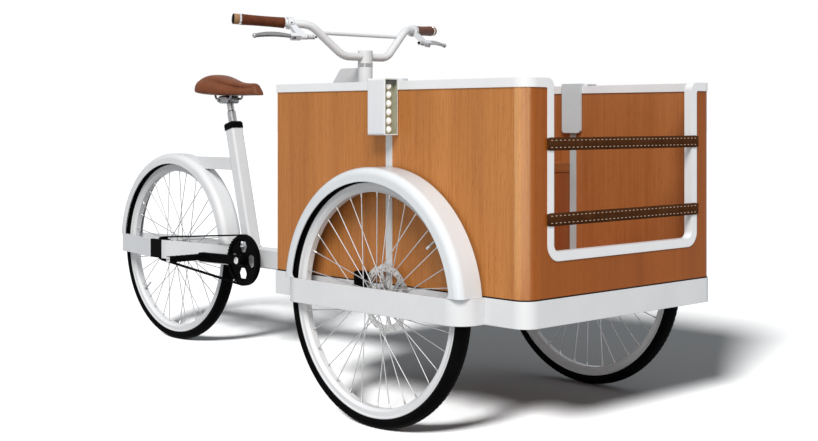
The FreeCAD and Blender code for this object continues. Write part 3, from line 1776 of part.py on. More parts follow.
def upper_stay():
    low = d.upper_stay_bottom
    high = low + d.upper_stay_height
    crown = float(d.fender_radius)
    half_depth = d.seat_tube_side / 2 / math.cos(lean)

    def tube_back(height):
        return seat_x - (height - bar_top) * rise - half_depth

    def fender_front(height):
        over = float(height - axle_z)
        return rear_x + math.sqrt(crown * crown - over * over)

    body = new_body("fender_stay")
    side = outline(body, "XZ_Plane", [
        (fender_front(high), low),
        (tube_back(low), low),
        (tube_back(high), high),
        (fender_front(high), high),
    ])
    pad(body, side, d.upper_stay_width, symmetric=True)
    drum = cross_rod("stay_drum", d.fender_radius, d.stay_half_width * 2, rear_x, 0, axle_z)
    node(cut("fender_stay_mitred", body, drum), "upper_stay")


# Belt drive

def pulley_radius(teeth):
    return teeth * d.belt_pitch / (2 * math.pi) - d.belt_pitch_line


def toothed_rim(body, teeth, width, rim_depth):
    """Ring with round gaps between its teeth, centred on the body's own plane."""
    tip = pulley_radius(teeth)
    pad(body, circle(body, "XZ_Plane", tip), width, symmetric=True)
    gap = circle(body, "XZ_Plane", d.tooth_gap_radius, u=tip - d.tooth_gap_sink)
    around(body, pocket(body, gap, width * 2, symmetric=True), gap, teeth)
    return tip - rim_depth


def chainring():
    body = new_body("ring")
    inner = toothed_rim(body, d.ring_teeth, d.belt_width, d.ring_rim)
    face = d.belt_width / 2
    cheek = (d.belt_width - d.ring_web) / 2
    pocket(body, circle(body, "XZ_Plane", inner, lift=face), cheek)
    pocket(body, circle(body, "XZ_Plane", inner, lift=-face), cheek, reverse=True)
    bore = circle(body, "XZ_Plane", d.ring_spigot_radius + d.running_clearance)
    pocket(body, bore, d.belt_width * 2, symmetric=True)
    root = d.ring_window_inner
    outer = d.ring_window_outer
    half = d.ring_window_half
    waist = (root + outer) / 2
    window = outline(body, "XZ_Plane", [
        (root, -half * 0.55),
        (waist, -half),
        (outer, -half * 0.7),
        (outer, half * 0.7),
        (waist, half),
        (root, half * 0.55),
    ])
    around(body, pocket(body, window, d.belt_width * 2, symmetric=True), window, d.ring_windows)
    closest = float(d.ring_spigot_radius) * 1.2
    farthest = float(outer) * 1.1

    def window_corner(middle, way):
        return abs(way.y) > 0.999 and closest < math.hypot(middle.x, middle.z) < farthest

    round_edges(body, d.ring_window_round, window_corner)
    node(place(body, bb_x, -d.belt_line, d.bb_height), "chainring")


def rear_sprocket():
    body = new_body("cog")
    toothed_rim(body, d.sprocket_teeth, d.belt_width, d.sprocket_rim)
    bore = circle(body, "XZ_Plane", d.sprocket_seat_radius + d.running_clearance)
    pocket(body, bore, d.belt_width * 2, symmetric=True)
    node(place(body, rear_x, -d.belt_line, axle_z), "rear_sprocket")


def belt_wire(front, rear, front_radius, rear_radius, y):
    """Outline round both pulleys: two tangent runs and two arcs."""
    run = rear - front
    angle = math.atan2(run.z, run.x)
    spread = math.acos((front_radius - rear_radius) / run.Length)

    def point(centre, radius, at):
        return Vector(centre.x + radius * math.cos(at), y, centre.z + radius * math.sin(at))

    top, low = angle - spread, angle + spread
    far = angle + math.pi
    return Part.Wire([
        Part.LineSegment(point(front, front_radius, top), point(rear, rear_radius, top)).toShape(),
        Part.Arc(point(rear, rear_radius, top), point(rear, rear_radius, angle),
                 point(rear, rear_radius, low)).toShape(),
        Part.LineSegment(point(rear, rear_radius, low), point(front, front_radius, low)).toShape(),
        Part.Arc(point(front, front_radius, low), point(front, front_radius, far),
                 point(front, front_radius, top)).toShape(),
    ])


def drive_belt():
    front = Vector(float(bb_x), 0, float(d.bb_height))
    rear = Vector(float(rear_x), 0, float(axle_z))
    y = float(-d.belt_line - d.belt_width / 2)
    inside = [float(pulley_radius(teeth) + d.belt_gap) for teeth in (d.ring_teeth, d.sprocket_teeth)]
    thick = float(d.belt_thickness)
    wires = [
        belt_wire(front, rear, inside[0] + thick, inside[1] + thick, y),
        belt_wire(front, rear, inside[0], inside[1], y),
    ]
    band = Part.makeFace(wires, "Part::FaceMakerBullseye")
    node(feature("drive_belt", band.extrude(Vector(0, float(d.belt_width), 0))), "drive_belt")


def crank_spindle():
    half = d.crank_inner + d.crank_thickness - d.crank_bolt
    node(cross_rod("spindle", d.spindle_radius, half * 2, bb_x, 0, d.bb_height), "crank_spindle")


def crank_arm(name, heading, with_spigot):
    """Arm on the right-hand side, backwards and flaring outwards, turned about Z by the heading."""
    body = new_body(name)
    inner = d.crank_inner
    length = d.crank_length
    thick = d.crank_thickness
    boss = d.crank_boss_radius
    eye = d.crank_eye_radius
    tip = inner + d.crank_flare
    pad(body, circle(body, "XZ_Plane", boss, lift=inner), thick)
    plan = outline(body, "XY_Plane", [
        (0, -inner),
        (-boss, -inner),
        (eye - length, -tip),
        (-length, -tip),
        (-length, -tip - thick),
        (eye - length, -tip - thick),
        (-boss, -inner - thick),
        (0, -inner - thick),
    ])
    pad(body, plan, d.crank_root_width, symmetric=True)
    pad(body, circle(body, "XZ_Plane", eye, u=-length, lift=tip), thick)
    if with_spigot:
        spigot = inner - d.belt_line + d.ring_web / 2
        pad(body, circle(body, "XZ_Plane", d.ring_spigot_radius, lift=inner - spigot), spigot)
    depth = thick - d.crank_bolt
    bore = circle(body, "XZ_Plane", d.spindle_radius, lift=inner + depth)
    pocket(body, bore, depth + d.crank_inner)
    pad(body, circle(body, "XZ_Plane", d.crank_bolt_radius, lift=inner + thick), d.crank_bolt)
    spindle = circle(body, "XZ_Plane", d.pedal_spindle_radius, u=-length, lift=tip + thick)
    pad(body, spindle, d.pedal_gap + d.pedal_width - d.pedal_cap)
    turn(body, Vector(0, 0, 1), heading)
    return place(body, bb_x, 0, d.bb_height)


def pedal(name, heading):
    """Slim bar round the spindle with notches across its upper and lower faces."""
    body = new_body(name)
    length = d.crank_length
    start = d.crank_inner + d.crank_flare + d.crank_thickness + d.pedal_gap
    half = d.pedal_length / 2
    tall = d.pedal_height / 2
    side = outline(body, "XZ_Plane", rectangle(-length - half, -tall, half - length, tall), start)
    pad(body, side, d.pedal_width)
    round_edges(body, d.pedal_round, lambda middle, way: abs(way.y) > 0.999)
    bore = circle(body, "XZ_Plane", d.pedal_spindle_radius + d.running_clearance, u=-length, lift=start)
    pocket(body, bore, d.pedal_width - d.pedal_cap / 2, reverse=True)
    pitch = d.pedal_width / d.pedal_teeth
    for way in (1, -1):
        root = way * (tall - d.pedal_tooth_depth)
        notch = outline(body, "YZ_Plane", [
            (-start - pitch * 0.30, way * tall),
            (-start - pitch * 0.40, root),
            (-start - pitch * 0.60, root),
            (-start - pitch * 0.70, way * tall),
        ], -length)
        first = pocket(body, notch, d.pedal_length * 2, symmetric=True)
        row = along(body, first, notch, "H_Axis", pitch * (d.pedal_teeth - 1), d.pedal_teeth)
        row.Reversed = True
    turn(body, Vector(0, 0, 1), heading)
    return place(body, bb_x, 0, d.bb_height)


def drive():
    chainring()
    rear_sprocket()
    drive_belt()
    crank_spindle()
    node(crank_arm("right_crank_arm", 0, True), "right_crank")
    node(crank_arm("left_crank_arm", 180, False), "left_crank")
    node(pedal("right_platform", 0), "right_pedal")
    node(pedal("left_platform", 180), "left_pedal")


def check_and_write():
    doc.recompute()
    for obj in doc.Objects:
        if "Invalid" in obj.State or "Error" in obj.State:
            raise RuntimeError(f"{obj.Label}: {obj.State}")
    for obj in nodes:
        if obj.Shape.isNull() or not obj.Shape.isValid() or not obj.Shape.Solids:
            raise RuntimeError(f"{obj.Label}: no valid solid")
    os.makedirs("parts", exist_ok=True)
    for obj in nodes:
        obj.Shape.exportStep(f"parts/{obj.Label}.step")
        print(f"{obj.Label}: {len(obj.Shape.Solids)} solids, {obj.Shape.Volume / 1000:.1f} cm3")
    print(f"{len(nodes)} nodes")


wheels()
front_axles()
rear_axle()
sill_frame()
wheel_loops()
front_fenders()
rear_fender()
shell_piece = box_shell()
back_piece = box_rear_panel()
rim_trim(shell_piece, back_piece)
floor_panels()
bench()
entry_straps()
lamps()
calipers()
steerer()
stem()
head_tube()
headset_bearings()
handlebar()
grips()
lever_blades()
lever_clamps()
main_beam()
head_gusset()
bottom_bracket_shell()
stay_bars()
upper_stay()
seat_tube()
seat_collar()
seatpost()
saddle_clamp()
saddle()
drive()
check_and_write()
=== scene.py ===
import math

import bmesh
import bpy
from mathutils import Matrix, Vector


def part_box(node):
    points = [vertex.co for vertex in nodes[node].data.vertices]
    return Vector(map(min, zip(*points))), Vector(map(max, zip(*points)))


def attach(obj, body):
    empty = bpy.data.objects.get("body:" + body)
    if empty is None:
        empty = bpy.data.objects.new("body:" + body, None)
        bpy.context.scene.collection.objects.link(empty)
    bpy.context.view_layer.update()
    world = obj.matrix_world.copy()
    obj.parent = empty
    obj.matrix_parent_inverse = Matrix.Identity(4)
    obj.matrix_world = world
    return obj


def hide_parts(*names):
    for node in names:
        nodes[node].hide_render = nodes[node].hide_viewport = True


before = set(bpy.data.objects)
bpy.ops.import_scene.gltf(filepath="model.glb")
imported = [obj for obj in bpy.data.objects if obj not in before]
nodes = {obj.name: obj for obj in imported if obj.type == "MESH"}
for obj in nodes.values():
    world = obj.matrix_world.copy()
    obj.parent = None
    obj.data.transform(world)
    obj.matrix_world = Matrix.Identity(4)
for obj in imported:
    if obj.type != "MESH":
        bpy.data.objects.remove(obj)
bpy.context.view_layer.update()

# Cargo tricycle: materials for the CAD nodes, modelled soft and fine pieces, studio and camera
scene = bpy.context.scene
xWay, yWay, zWay = Vector((1, 0, 0)), Vector((0, 1, 0)), Vector((0, 0, 1))
bothSides = (("right", -1), ("left", 1))


def boxOf(node):
    low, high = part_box(node)
    low, high = Vector(low), Vector(high)
    return low, high, (low + high) / 2


# Node helpers for the finishes

def addNode(tree, kind, settings=None, inputs=None):
    made = tree.nodes.new(kind)
    for key, value in (settings or {}).items():
        setattr(made, key, value)
    for key, value in (inputs or {}).items():
        made.inputs[key].default_value = value
    return made


def startFinish(name, roughness=0.5, metallic=0.0, coat=0.0, coatRoughness=0.1, specular=0.5):
    finish = bpy.data.materials.new(name)
    finish.use_nodes = True
    tree = finish.node_tree
    shader = tree.nodes["Principled BSDF"]
    shader.inputs["Roughness"].default_value = roughness
    shader.inputs["Metallic"].default_value = metallic
    shader.inputs["Coat Weight"].default_value = coat
    shader.inputs["Coat Roughness"].default_value = coatRoughness
    shader.inputs["Specular IOR Level"].default_value = specular
    return finish, tree, shader


def stretched(tree, scale):
    coords = addNode(tree, "ShaderNodeTexCoord")
    mapping = addNode(tree, "ShaderNodeMapping", None, {"Scale": scale})
    tree.links.new(coords.outputs["Object"], mapping.inputs["Vector"])
    return mapping.outputs["Vector"]


def noise(tree, vector, scale, detail=3.0, roughness=0.5, distortion=0.0):
    made = addNode(tree, "ShaderNodeTexNoise", None, {
        "Scale": scale, "Detail": detail, "Roughness": roughness, "Distortion": distortion})
    tree.links.new(vector, made.inputs["Vector"])
    return made.outputs[0]


def cells(tree, vector, scale):
    made = addNode(tree, "ShaderNodeTexVoronoi", {"feature": "DISTANCE_TO_EDGE"}, {"Scale": scale})
    tree.links.new(vector, made.inputs["Vector"])
    return made.outputs["Distance"]


def ramp(tree, value, stops):
    made = addNode(tree, "ShaderNodeValToRGB")
    band = made.color_ramp
    while len(band.elements) < len(stops):
        band.elements.new(0.5)
    for element, (at, colour) in zip(band.elements, stops):
        element.position = at
        element.color = (*colour, 1)
    tree.links.new(value, made.inputs["Fac"])
    return made.outputs["Color"]


def ranged(tree, value, low, high, fromLow=0.3, fromHigh=0.7):
    made = addNode(tree, "ShaderNodeMapRange", None, {
        "From Min": fromLow, "From Max": fromHigh, "To Min": low, "To Max": high})
    tree.links.new(value, made.inputs["Value"])
    return made.outputs["Result"]


def mixed(tree, first, second, amount, blend="MIX"):
    made = addNode(tree, "ShaderNodeMix", {"data_type": "RGBA", "blend_type": blend})
    for socket, value in ((made.inputs[0], amount), (made.inputs[6], first), (made.inputs[7], second)):
        if isinstance(value, (int, float, tuple)):
            socket.default_value = value if isinstance(value, (int, float)) else (*value, 1)
        else:
            tree.links.new(value, socket)
    return made.outputs[2]


def bumped(tree, shader, height, strength, distance, edge=0.0):
    made = addNode(tree, "ShaderNodeBump", None, {"Strength": strength, "Distance": distance})
    tree.links.new(height, made.inputs["Height"])
    if edge:
        rounded = addNode(tree, "ShaderNodeBevel", {"samples": 4}, {"Radius": edge})
        tree.links.new(rounded.outputs["Normal"], made.inputs["Normal"])
    tree.links.new(made.outputs["Normal"], shader.inputs["Normal"])


def link(tree, value, shader, socket):
    tree.links.new(value, shader.inputs[socket])


def placeAlong(tree, axis):
    split = addNode(tree, "ShaderNodeSeparateXYZ")
    tree.links.new(stretched(tree, (1, 1, 1)), split.inputs["Vector"])
    return split.outputs[axis]


# Finishes

# Painted shade: faces nearer the middle than inner, inside the box, are multiplied by the darker shade colour
def paintedInsideShade(tree, tone, inner, shade):
    fade = 0.003
    aside = addNode(tree, "ShaderNodeMath", {"operation": "ABSOLUTE"})
    tree.links.new(placeAlong(tree, "Y"), aside.inputs[0])
    outside = ranged(tree, aside.outputs[0], 0, 1, inner, inner + fade)
    return mixed(tree, tone, ramp(tree, outside, [(0.0, shade), (1.0, (1, 1, 1))]), amount=1.0, blend="MULTIPLY")


def paintFinish(name, pale, shade, edge=0.0020, roughness=(0.30, 0.40), coat=1.0, inner=0.0,
                shadeIn=(0.78, 0.83, 0.835)):
    finish, tree, shader = startFinish(name, coat=coat, coatRoughness=0.08, specular=0.36)
    shader.inputs["Coat IOR"].default_value = 1.05
    shader.inputs["Coat Tint"].default_value = (0.872, 0.882, 0.895, 1)
    place = stretched(tree, (1, 1, 1))
    cloud = noise(tree, place, scale=9, detail=2)
    speck = noise(tree, place, scale=700, detail=2)
    tone = ramp(tree, cloud, [(0.35, shade), (0.62, pale)])
    # painted shade on the faces inside the box
    if inner:
        tone = paintedInsideShade(tree, tone, inner, shadeIn)
    specks = ramp(tree, speck, [(0.3, (0.86, 0.86, 0.87)), (0.55, (1, 1, 1))])
    link(tree, mixed(tree, tone, specks, amount=0.5, blend="MULTIPLY"), shader, "Base Color")
    link(tree, ranged(tree, cloud, *roughness), shader, "Roughness")
    bumped(tree, shader, speck, strength=0.05, distance=0.0004, edge=edge)
    return finish


def metalFinish(name, colour, dark, roughness=(0.18, 0.3), brush=(1, 1, 1), brushScale=300, edge=0.0):
    finish, tree, shader = startFinish(name, metallic=1.0)
    place = stretched(tree, brush)
    lines = noise(tree, place, brushScale, detail=3)
    link(tree, ramp(tree, lines, [(0.3, dark), (0.7, colour)]), shader, "Base Color")
    link(tree, ranged(tree, lines, *roughness), shader, "Roughness")
    bumped(tree, shader, lines, strength=0.04, distance=0.0002, edge=edge)
    return finish


def blackFinish(name, deep, worn, roughness=(0.35, 0.5), scale=60, grain=900, edge=0.0008, specular=0.012):
    finish, tree, shader = startFinish(name, specular=specular)
    place = stretched(tree, (1, 1, 1))
    cloud = noise(tree, place, scale, detail=4)
    fine = noise(tree, place, grain, detail=2)
    link(tree, ramp(tree, cloud, [(0.35, deep), (0.75, worn)]), shader, "Base Color")
    link(tree, ranged(tree, cloud, *roughness), shader, "Roughness")
    bumped(tree, shader, fine, strength=0.12, distance=0.0004, edge=edge)
    return finish


def woodFinish(name, grainWay, dark, middle, light, bend=None, inner=0.0):
    run, poreRun = 0.018, 0.0612
    alongGrain = "xyz".index(grainWay)
    scale, poreScale = [1.0, 1.0, 1.0], [1.0, 1.0, 1.0]
    scale[alongGrain], poreScale[alongGrain] = run, poreRun
    finish, tree, shader = startFinish(name, coat=0.22, coatRoughness=0.18, specular=0.02)
    place = stretched(tree, scale)
    bands = noise(tree, place, scale=9, detail=4, roughness=0.62, distortion=0.6)
    streaks = noise(tree, place, scale=330, detail=5, roughness=0.62)
    pores = noise(tree, stretched(tree, poreScale), scale=760, detail=2)
    tone = ramp(tree, bands, [(0.22, dark), (0.5, middle), (0.80, light)])
    streaked = ramp(tree, streaks, [(0.30, (0.79, 0.72, 0.65)), (0.62, (1, 1, 1))])
    pored = ramp(tree, pores, [(0.30, (0.60, 0.50, 0.42)), (0.40, (1, 1, 1))])
    tone = mixed(tree, tone, streaked, amount=0.75, blend="MULTIPLY")
    tone = mixed(tree, tone, pored, amount=0.6, blend="MULTIPLY")
    # Painted shade: the front wall darker and redder than the sides, and the faces inside the box darker
    if bend:
        along = ranged(tree, placeAlong(tree, "X"), 0, 1, *bend)
        paintedFrontShade = ramp(tree, along, [(0.0, (1, 1, 1)), (0.86, (1, 1, 1)), (0.99, (0.82, 0.635, 0.277))])
        tone = mixed(tree, tone, paintedFrontShade, amount=1.0, blend="MULTIPLY")
        tone = paintedInsideShade(tree, tone, inner, (0.83, 0.74, 0.83))
    link(tree, tone, shader, "Base Color")
    link(tree, ranged(tree, streaks, low=0.46, high=0.34), shader, "Roughness")
    bumped(tree, shader, streaks, strength=0.10, distance=0.0004, edge=0.0008)
    return finish


def leatherFinish(name, dark, light, grain=850, roughness=(0.42, 0.58), specular=0.12):
    finish, tree, shader = startFinish(name, specular=specular)
    place = stretched(tree, (1, 1, 1))
    cloud = noise(tree, place, scale=28, detail=4, roughness=0.6)
    pebble = cells(tree, place, grain)
    fine = noise(tree, place, scale=grain * 2.2, detail=2)
    creased = ramp(tree, pebble, [(0.0, (0.72, 0.70, 0.68)), (0.12, (1, 1, 1))])
    tone = ramp(tree, cloud, [(0.30, dark), (0.68, light)])
    link(tree, mixed(tree, tone, creased, amount=0.6, blend="MULTIPLY"), shader, "Base Color")
    link(tree, ranged(tree, fine, *roughness), shader, "Roughness")
    height = mixed(tree, pebble, fine, amount=0.35)
    bumped(tree, shader, height, strength=0.22, distance=0.0006)
    return finish


def rubberFinish(name, deep, dusty, roughness=(0.55, 0.72)):
    finish, tree, shader = startFinish(name, specular=0.012)
    place = stretched(tree, (1, 1, 1))
    cloud = noise(tree, place, scale=18, detail=5, roughness=0.6)
    fine = noise(tree, place, scale=1400, detail=2)
    link(tree, ramp(tree, cloud, [(0.35, deep), (0.8, dusty)]), shader, "Base Color")
    link(tree, ranged(tree, cloud, *roughness), shader, "Roughness")
    bumped(tree, shader, fine, strength=0.12, distance=0.0004)
    return finish


def lensFinish(name):
    finish, tree, shader = startFinish(name, roughness=0.12, coat=0.5, coatRoughness=0.03)
    place = stretched(tree, (1, 1, 1))
    frost = noise(tree, place, scale=420, detail=2)
    link(tree, ramp(tree, frost, [(0.3, (0.80, 0.80, 0.76)), (0.7, (0.88, 0.88, 0.85))]), shader, "Base Color")
    link(tree, ramp(tree, frost, [(0.3, (0.95, 0.95, 0.9)), (0.7, (1, 1, 0.97))]), shader, "Emission Color")
    shader.inputs["Emission Strength"].default_value = 0.30
    bumped(tree, shader, frost, strength=0.05, distance=0.0003)
    return finish


# Surfaces nearer the middle than this lie inside the box and get painted shade; its corners start to bend at bendRun
# from the front, where the painted shade of the front wall begins
insideWall, bendRun, plyThick = 0.338, 0.040, 0.006
shellLow, shellHigh = boxOf("box_shell")[:2]
framePaint = paintFinish("framePaint", (0.925, 0.918, 0.91), (0.885, 0.878, 0.872))
# fenderPaint: the frame's white made cooler, painted bluish shade on the fenders that also cancels warm light bounced
# off the wood
fenderPaint = paintFinish("fenderPaint", (0.905, 0.922, 0.928), (0.87, 0.887, 0.893))
trimPaint = paintFinish("trimPaint", (0.93, 0.93, 0.93), (0.90, 0.90, 0.905), 0.0016, coat=0.4)
rimPaint = paintFinish("rimPaint", (0.935, 0.925, 0.92), (0.89, 0.88, 0.875), 0.0)
# Painted shade on the faces inside the box: the lamp's inner plate greyer, the posts blue-green to also cancel warm
# light bounced off the wood
lampShell = paintFinish("lampShell", (0.84, 0.845, 0.86), (0.80, 0.805, 0.825), 0.0028, (0.32, 0.45), 0.2, insideWall)
leverWhite = paintFinish("leverWhite", (0.90, 0.90, 0.90), (0.85, 0.85, 0.86), 0.0008)
postAlloy = paintFinish("postAlloy", (0.70, 0.71, 0.715), (0.63, 0.64, 0.65), 0.0008, (0.34, 0.46), 0.0, insideWall,
                        (0.74, 0.81, 0.82))
brightSteel = metalFinish("brightSteel", (0.70, 0.70, 0.71), (0.56, 0.56, 0.57))
greySteel = metalFinish("greySteel", (0.40, 0.40, 0.41), (0.29, 0.29, 0.30), (0.24, 0.36))
darkSteel = metalFinish("darkSteel", (0.26, 0.26, 0.27), (0.17, 0.17, 0.18), (0.28, 0.42))
spokeSteel = metalFinish("spokeSteel", (0.56, 0.56, 0.57), (0.44, 0.44, 0.45), (0.46, 0.60))
# Rear spokes darker than the front ones: painted shade under the frame, and darker so the thin far spokes show
shadeSteel = metalFinish("shadeSteel", (0.44, 0.44, 0.45), (0.33, 0.33, 0.34), (0.46, 0.60))
rotorSteel = metalFinish("rotorSteel", (0.62, 0.62, 0.61), (0.48, 0.48, 0.47), (0.30, 0.45), (1, 1, 1), 380)
leverBlade = metalFinish("leverBlade", (0.32, 0.32, 0.33), (0.24, 0.24, 0.25), (0.3, 0.42), (1, 0.1, 1), 400, 0.0008)
brassNipple = metalFinish("brassNipple", (0.62, 0.61, 0.58), (0.48, 0.47, 0.45), (0.25, 0.4))
blackMetal = blackFinish("blackMetal", (0.0016, 0.0016, 0.0018), (0.0042, 0.0042, 0.0046))
pedalBlack = blackFinish("pedalBlack", (0.0024, 0.0024, 0.0025), (0.0060, 0.0060, 0.0063), (0.5, 0.65))
capGrey = blackFinish("capGrey", (0.050, 0.050, 0.046), (0.085, 0.085, 0.078), (0.3, 0.42), specular=0.3)
# Dark rubber for the strip that paints the shadow line under the plywood
jointShadowRubber = rubberFinish("jointShadowRubber", (0.010, 0.009, 0.008), (0.022, 0.020, 0.018))
beltRubber = rubberFinish("beltRubber", (0.0020, 0.0020, 0.0020), (0.0050, 0.0050, 0.0050))
tyreRubber = rubberFinish("tyreRubber", (0.0018, 0.0018, 0.0018), (0.0052, 0.0052, 0.0050))
lampBezel = blackFinish("lampBezel", (0.30, 0.30, 0.22), (0.38, 0.38, 0.28), (0.35, 0.5), 50, 800, 0.0006, 0.3)
lampLens = lensFinish("lampLens")
wallWood = woodFinish("wallWood", "z", (0.391, 0.1425, 0.036), (0.510, 0.198, 0.054), (0.613, 0.252, 0.0755),
                      (shellHigh.x - bendRun, shellHigh.x), shellHigh.y - plyThick)
# Darker copies of the wall wood for the back wall, bench and floor: painted shade inside the box
shadedInsideWood = woodFinish("shadedInsideWood", "z", (0.250, 0.068, 0.019), (0.322, 0.096, 0.029), (0.378, 0.122, 0.041))
shadedBoardWood = woodFinish("shadedBoardWood", "y", (0.235, 0.070, 0.020), (0.300, 0.098, 0.029), (0.355, 0.126, 0.040))
strapLeather = leatherFinish("strapLeather", (0.052, 0.0175, 0.0055), (0.080, 0.0295, 0.0100), 850, (0.5, 0.62), 0.015)
saddleLeather = leatherFinish("saddleLeather", (0.150, 0.047, 0.020), (0.188, 0.062, 0.027), 700)
gripLeather = leatherFinish("gripLeather", (0.090, 0.024, 0.010), (0.145, 0.042, 0.018), 800, (0.42, 0.55), 0.10)
tanLeather = leatherFinish("tanLeather", (0.30, 0.165, 0.080), (0.40, 0.235, 0.125), 800)
stitchThread = leatherFinish("stitchThread", (0.48, 0.35, 0.25), (0.60, 0.46, 0.35), 2500)
print("finishes made")

nodeFinish = {
    framePaint: "sill_frame wheel_loops rear_fender stem head_tube handlebar main_beam head_gusset"
                " bottom_bracket_shell stay_bars upper_stay seat_tube steerer",
    fenderPaint: "front_fenders",
    trimPaint: "rim_trim",
    rimPaint: "right_rim left_rim rear_rim",
    tyreRubber: "right_tyre left_tyre rear_tyre",
    spokeSteel: "right_spokes left_spokes",
    shadeSteel: "rear_spokes",
    brightSteel: "right_hub left_hub rear_hub front_axles rear_axle crank_spindle",
    greySteel: "headset_bearings seatpost saddle_clamp",
    rotorSteel: "right_rotor left_rotor",
    wallWood: "box_shell",
    shadedInsideWood: "box_back bench_front",
    shadedBoardWood: "floor_panels bench_seat",
    lampShell: "lamp_housings",
    lampBezel: "lamp_bezels",
    lampLens: "lamp_leds",
    postAlloy: "lamp_posts",
    blackMetal: "brake_calipers axle_block seat_collar chainring rear_sprocket right_crank left_crank",
    pedalBlack: "right_pedal left_pedal",
    leverWhite: "lever_clamps",
    leverBlade: "left_brake_lever right_brake_lever",
    beltRubber: "drive_belt",
    strapLeather: "entry_straps",
    saddleLeather: "saddle",
    gripLeather: "grips",
}
for finish, names in nodeFinish.items():
    for name in names.split():
        for slot in nodes[name].material_slots:
            slot.material = finish


# Mesh helpers for the pieces

def addPiece(name, mesh, finish, body, replaced=(), finishes=()):
    piece = bpy.data.objects.new(name, mesh)
    scene.collection.objects.link(piece)
    for each in (finish, *finishes):
        mesh.materials.append(each)
    mesh.shade_smooth()
    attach(piece, body)
    if replaced:
        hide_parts(*replaced)
    return piece


def meshOf(name, work):
    bmesh.ops.recalc_face_normals(work, faces=work.faces)
    mesh = bpy.data.meshes.new(name)
    work.to_mesh(mesh)
    work.free()
    return mesh


def sharpen(piece, angle=35):
    piece.data.set_sharp_from_angle(angle=math.radians(angle))


def loft(work, rings, closed=False, caps=True, slotIndex=0):
    rows = [[work.verts.new(point) for point in ring] for ring in rings]
    pairs = list(zip(rows, rows[1:]))
    if closed:
        pairs.append((rows[-1], rows[0]))
    for first, second in pairs:
        for index, corner in enumerate(first):
            after = (index + 1) % len(first)
            face = work.faces.new((corner, first[after], second[after], second[index]))
            face.material_index = slotIndex
    if caps and not closed:
        for row in (rows[0], rows[-1]):
            work.faces.new(row).material_index = slotIndex


def circleRing(centre, way, radius, count=24):
    side = way.orthogonal().normalized()
    up = way.cross(side).normalized()
    turns = [math.tau * index / count for index in range(count)]
    return [centre + side * (radius * math.cos(t)) + up * (radius * math.sin(t)) for t in turns]


def turnedRod(work, start, way, steps, count=24, slotIndex=0):
    rings = [circleRing(start + way * along, way, radius, count) for along, radius in steps]
    loft(work, rings, slotIndex=slotIndex)


wheelPlaces = {
    "right": ("right_front_wheel", boxOf("right_tyre")[2]),
    "left": ("left_front_wheel", boxOf("left_tyre")[2]),
    "rear": ("rear_wheel", boxOf("rear_tyre")[2]),
}

# Tyres with a grooved tread, and the painted lips of the rims beside them
tyreShape = {"radius": 0.303, "halfWidth": 0.021, "widest": 0.2885, "wallDrop": 0.0152, "bead": 0.2762,
             "beadHalf": 0.0118, "ribs": 120, "groove": 0.0011, "steps": 22, "wrap": 44, "ringGrooves": (9, 13),
             "ribSteps": 3, "treadEdge": 40, "ridgeHalf": 12}
lipSteps = 144
lipShape = [(0.0122, 0.2725), (0.0157, 0.2725), (0.0160, 0.2772), (0.0153, 0.2783), (0.0138, 0.2783), (0.0126, 0.2770)]


def wheelRing(centre, profile, turn):
    out = Vector((math.cos(turn), 0, math.sin(turn)))
    return [centre + out * radius + yWay * across for across, radius in profile]


def tyreProfile(shape, cutting):
    profile = [(-shape["beadHalf"], shape["bead"])]
    middle, wrap = shape["widest"], shape["wrap"]
    for index in range(shape["steps"] + 1):
        turn = math.radians(-wrap + (180 + 2 * wrap) * index / shape["steps"])
        across = -shape["halfWidth"] * math.cos(turn)
        reach = shape["radius"] - middle if 0 < turn < math.pi else shape["wallDrop"]
        radius = middle + reach * math.sin(turn)
        slope = math.degrees(turn)
        onTread = shape["treadEdge"] < slope < 180 - shape["treadEdge"]
        cutHere = onTread and cutting and abs(slope - 90) > shape["ridgeHalf"]
        ringGroove = onTread and index in shape["ringGrooves"]
        drop = shape["groove"] if cutHere or ringGroove else 0
        profile.append((across * (1 - drop / middle), radius - drop))
    profile.append((shape["beadHalf"], shape["bead"]))
    return profile


for side, (body, centre) in wheelPlaces.items():
    work = bmesh.new()
    count = tyreShape["ribs"] * tyreShape["ribSteps"]
    rings = []
    for index in range(count):
        profile = tyreProfile(tyreShape, index % tyreShape["ribSteps"] == 0)
        rings.append(wheelRing(centre, profile, math.tau * index / count))
    loft(work, rings, closed=True)
    addPiece(f"{side}Tyre", meshOf("tyre", work), tyreRubber, body, [f"{side}_tyre"])
    work = bmesh.new()
    for flip in (-1, 1):
        lip = [(flip * across, radius) for across, radius in lipShape]
        loft(work, [wheelRing(centre, lip, math.tau * index / lipSteps) for index in range(lipSteps)], closed=True)
    addPiece(f"{side}RimLips", meshOf("rimLips", work), rimPaint, body)
print("tyres modelled")

# Leather straps across the entry, sewn near both edges
strapShape = {"edgeRound": 0.0011, "stitchInset": 0.0066, "stitchPitch": 0.0146, "stitchLength": 0.0062,
              "threadRadius": 0.0010, "endGap": 0.008, "spans": 48, "endTaper": 0.0016, "backGap": 0.0002,
              "faceGap": 0.0006, "threadSunk": 0.0007}
threadSteps = [(0.0, 0.4), (0.15, 1.0), (0.85, 1.0), (1.0, 0.4)]
strapLow, strapHigh, strapMiddle = boxOf("entry_straps")
strapWidth = 0.029


def strapSection(x0, x1, y, z, half, edge):
    corners = [(x0, -half), (x1 - edge, -half), (x1, -half + edge), (x1, half - edge), (x1 - edge, half), (x0, half)]
    return [Vector((x, y, z + up)) for x, up in corners]


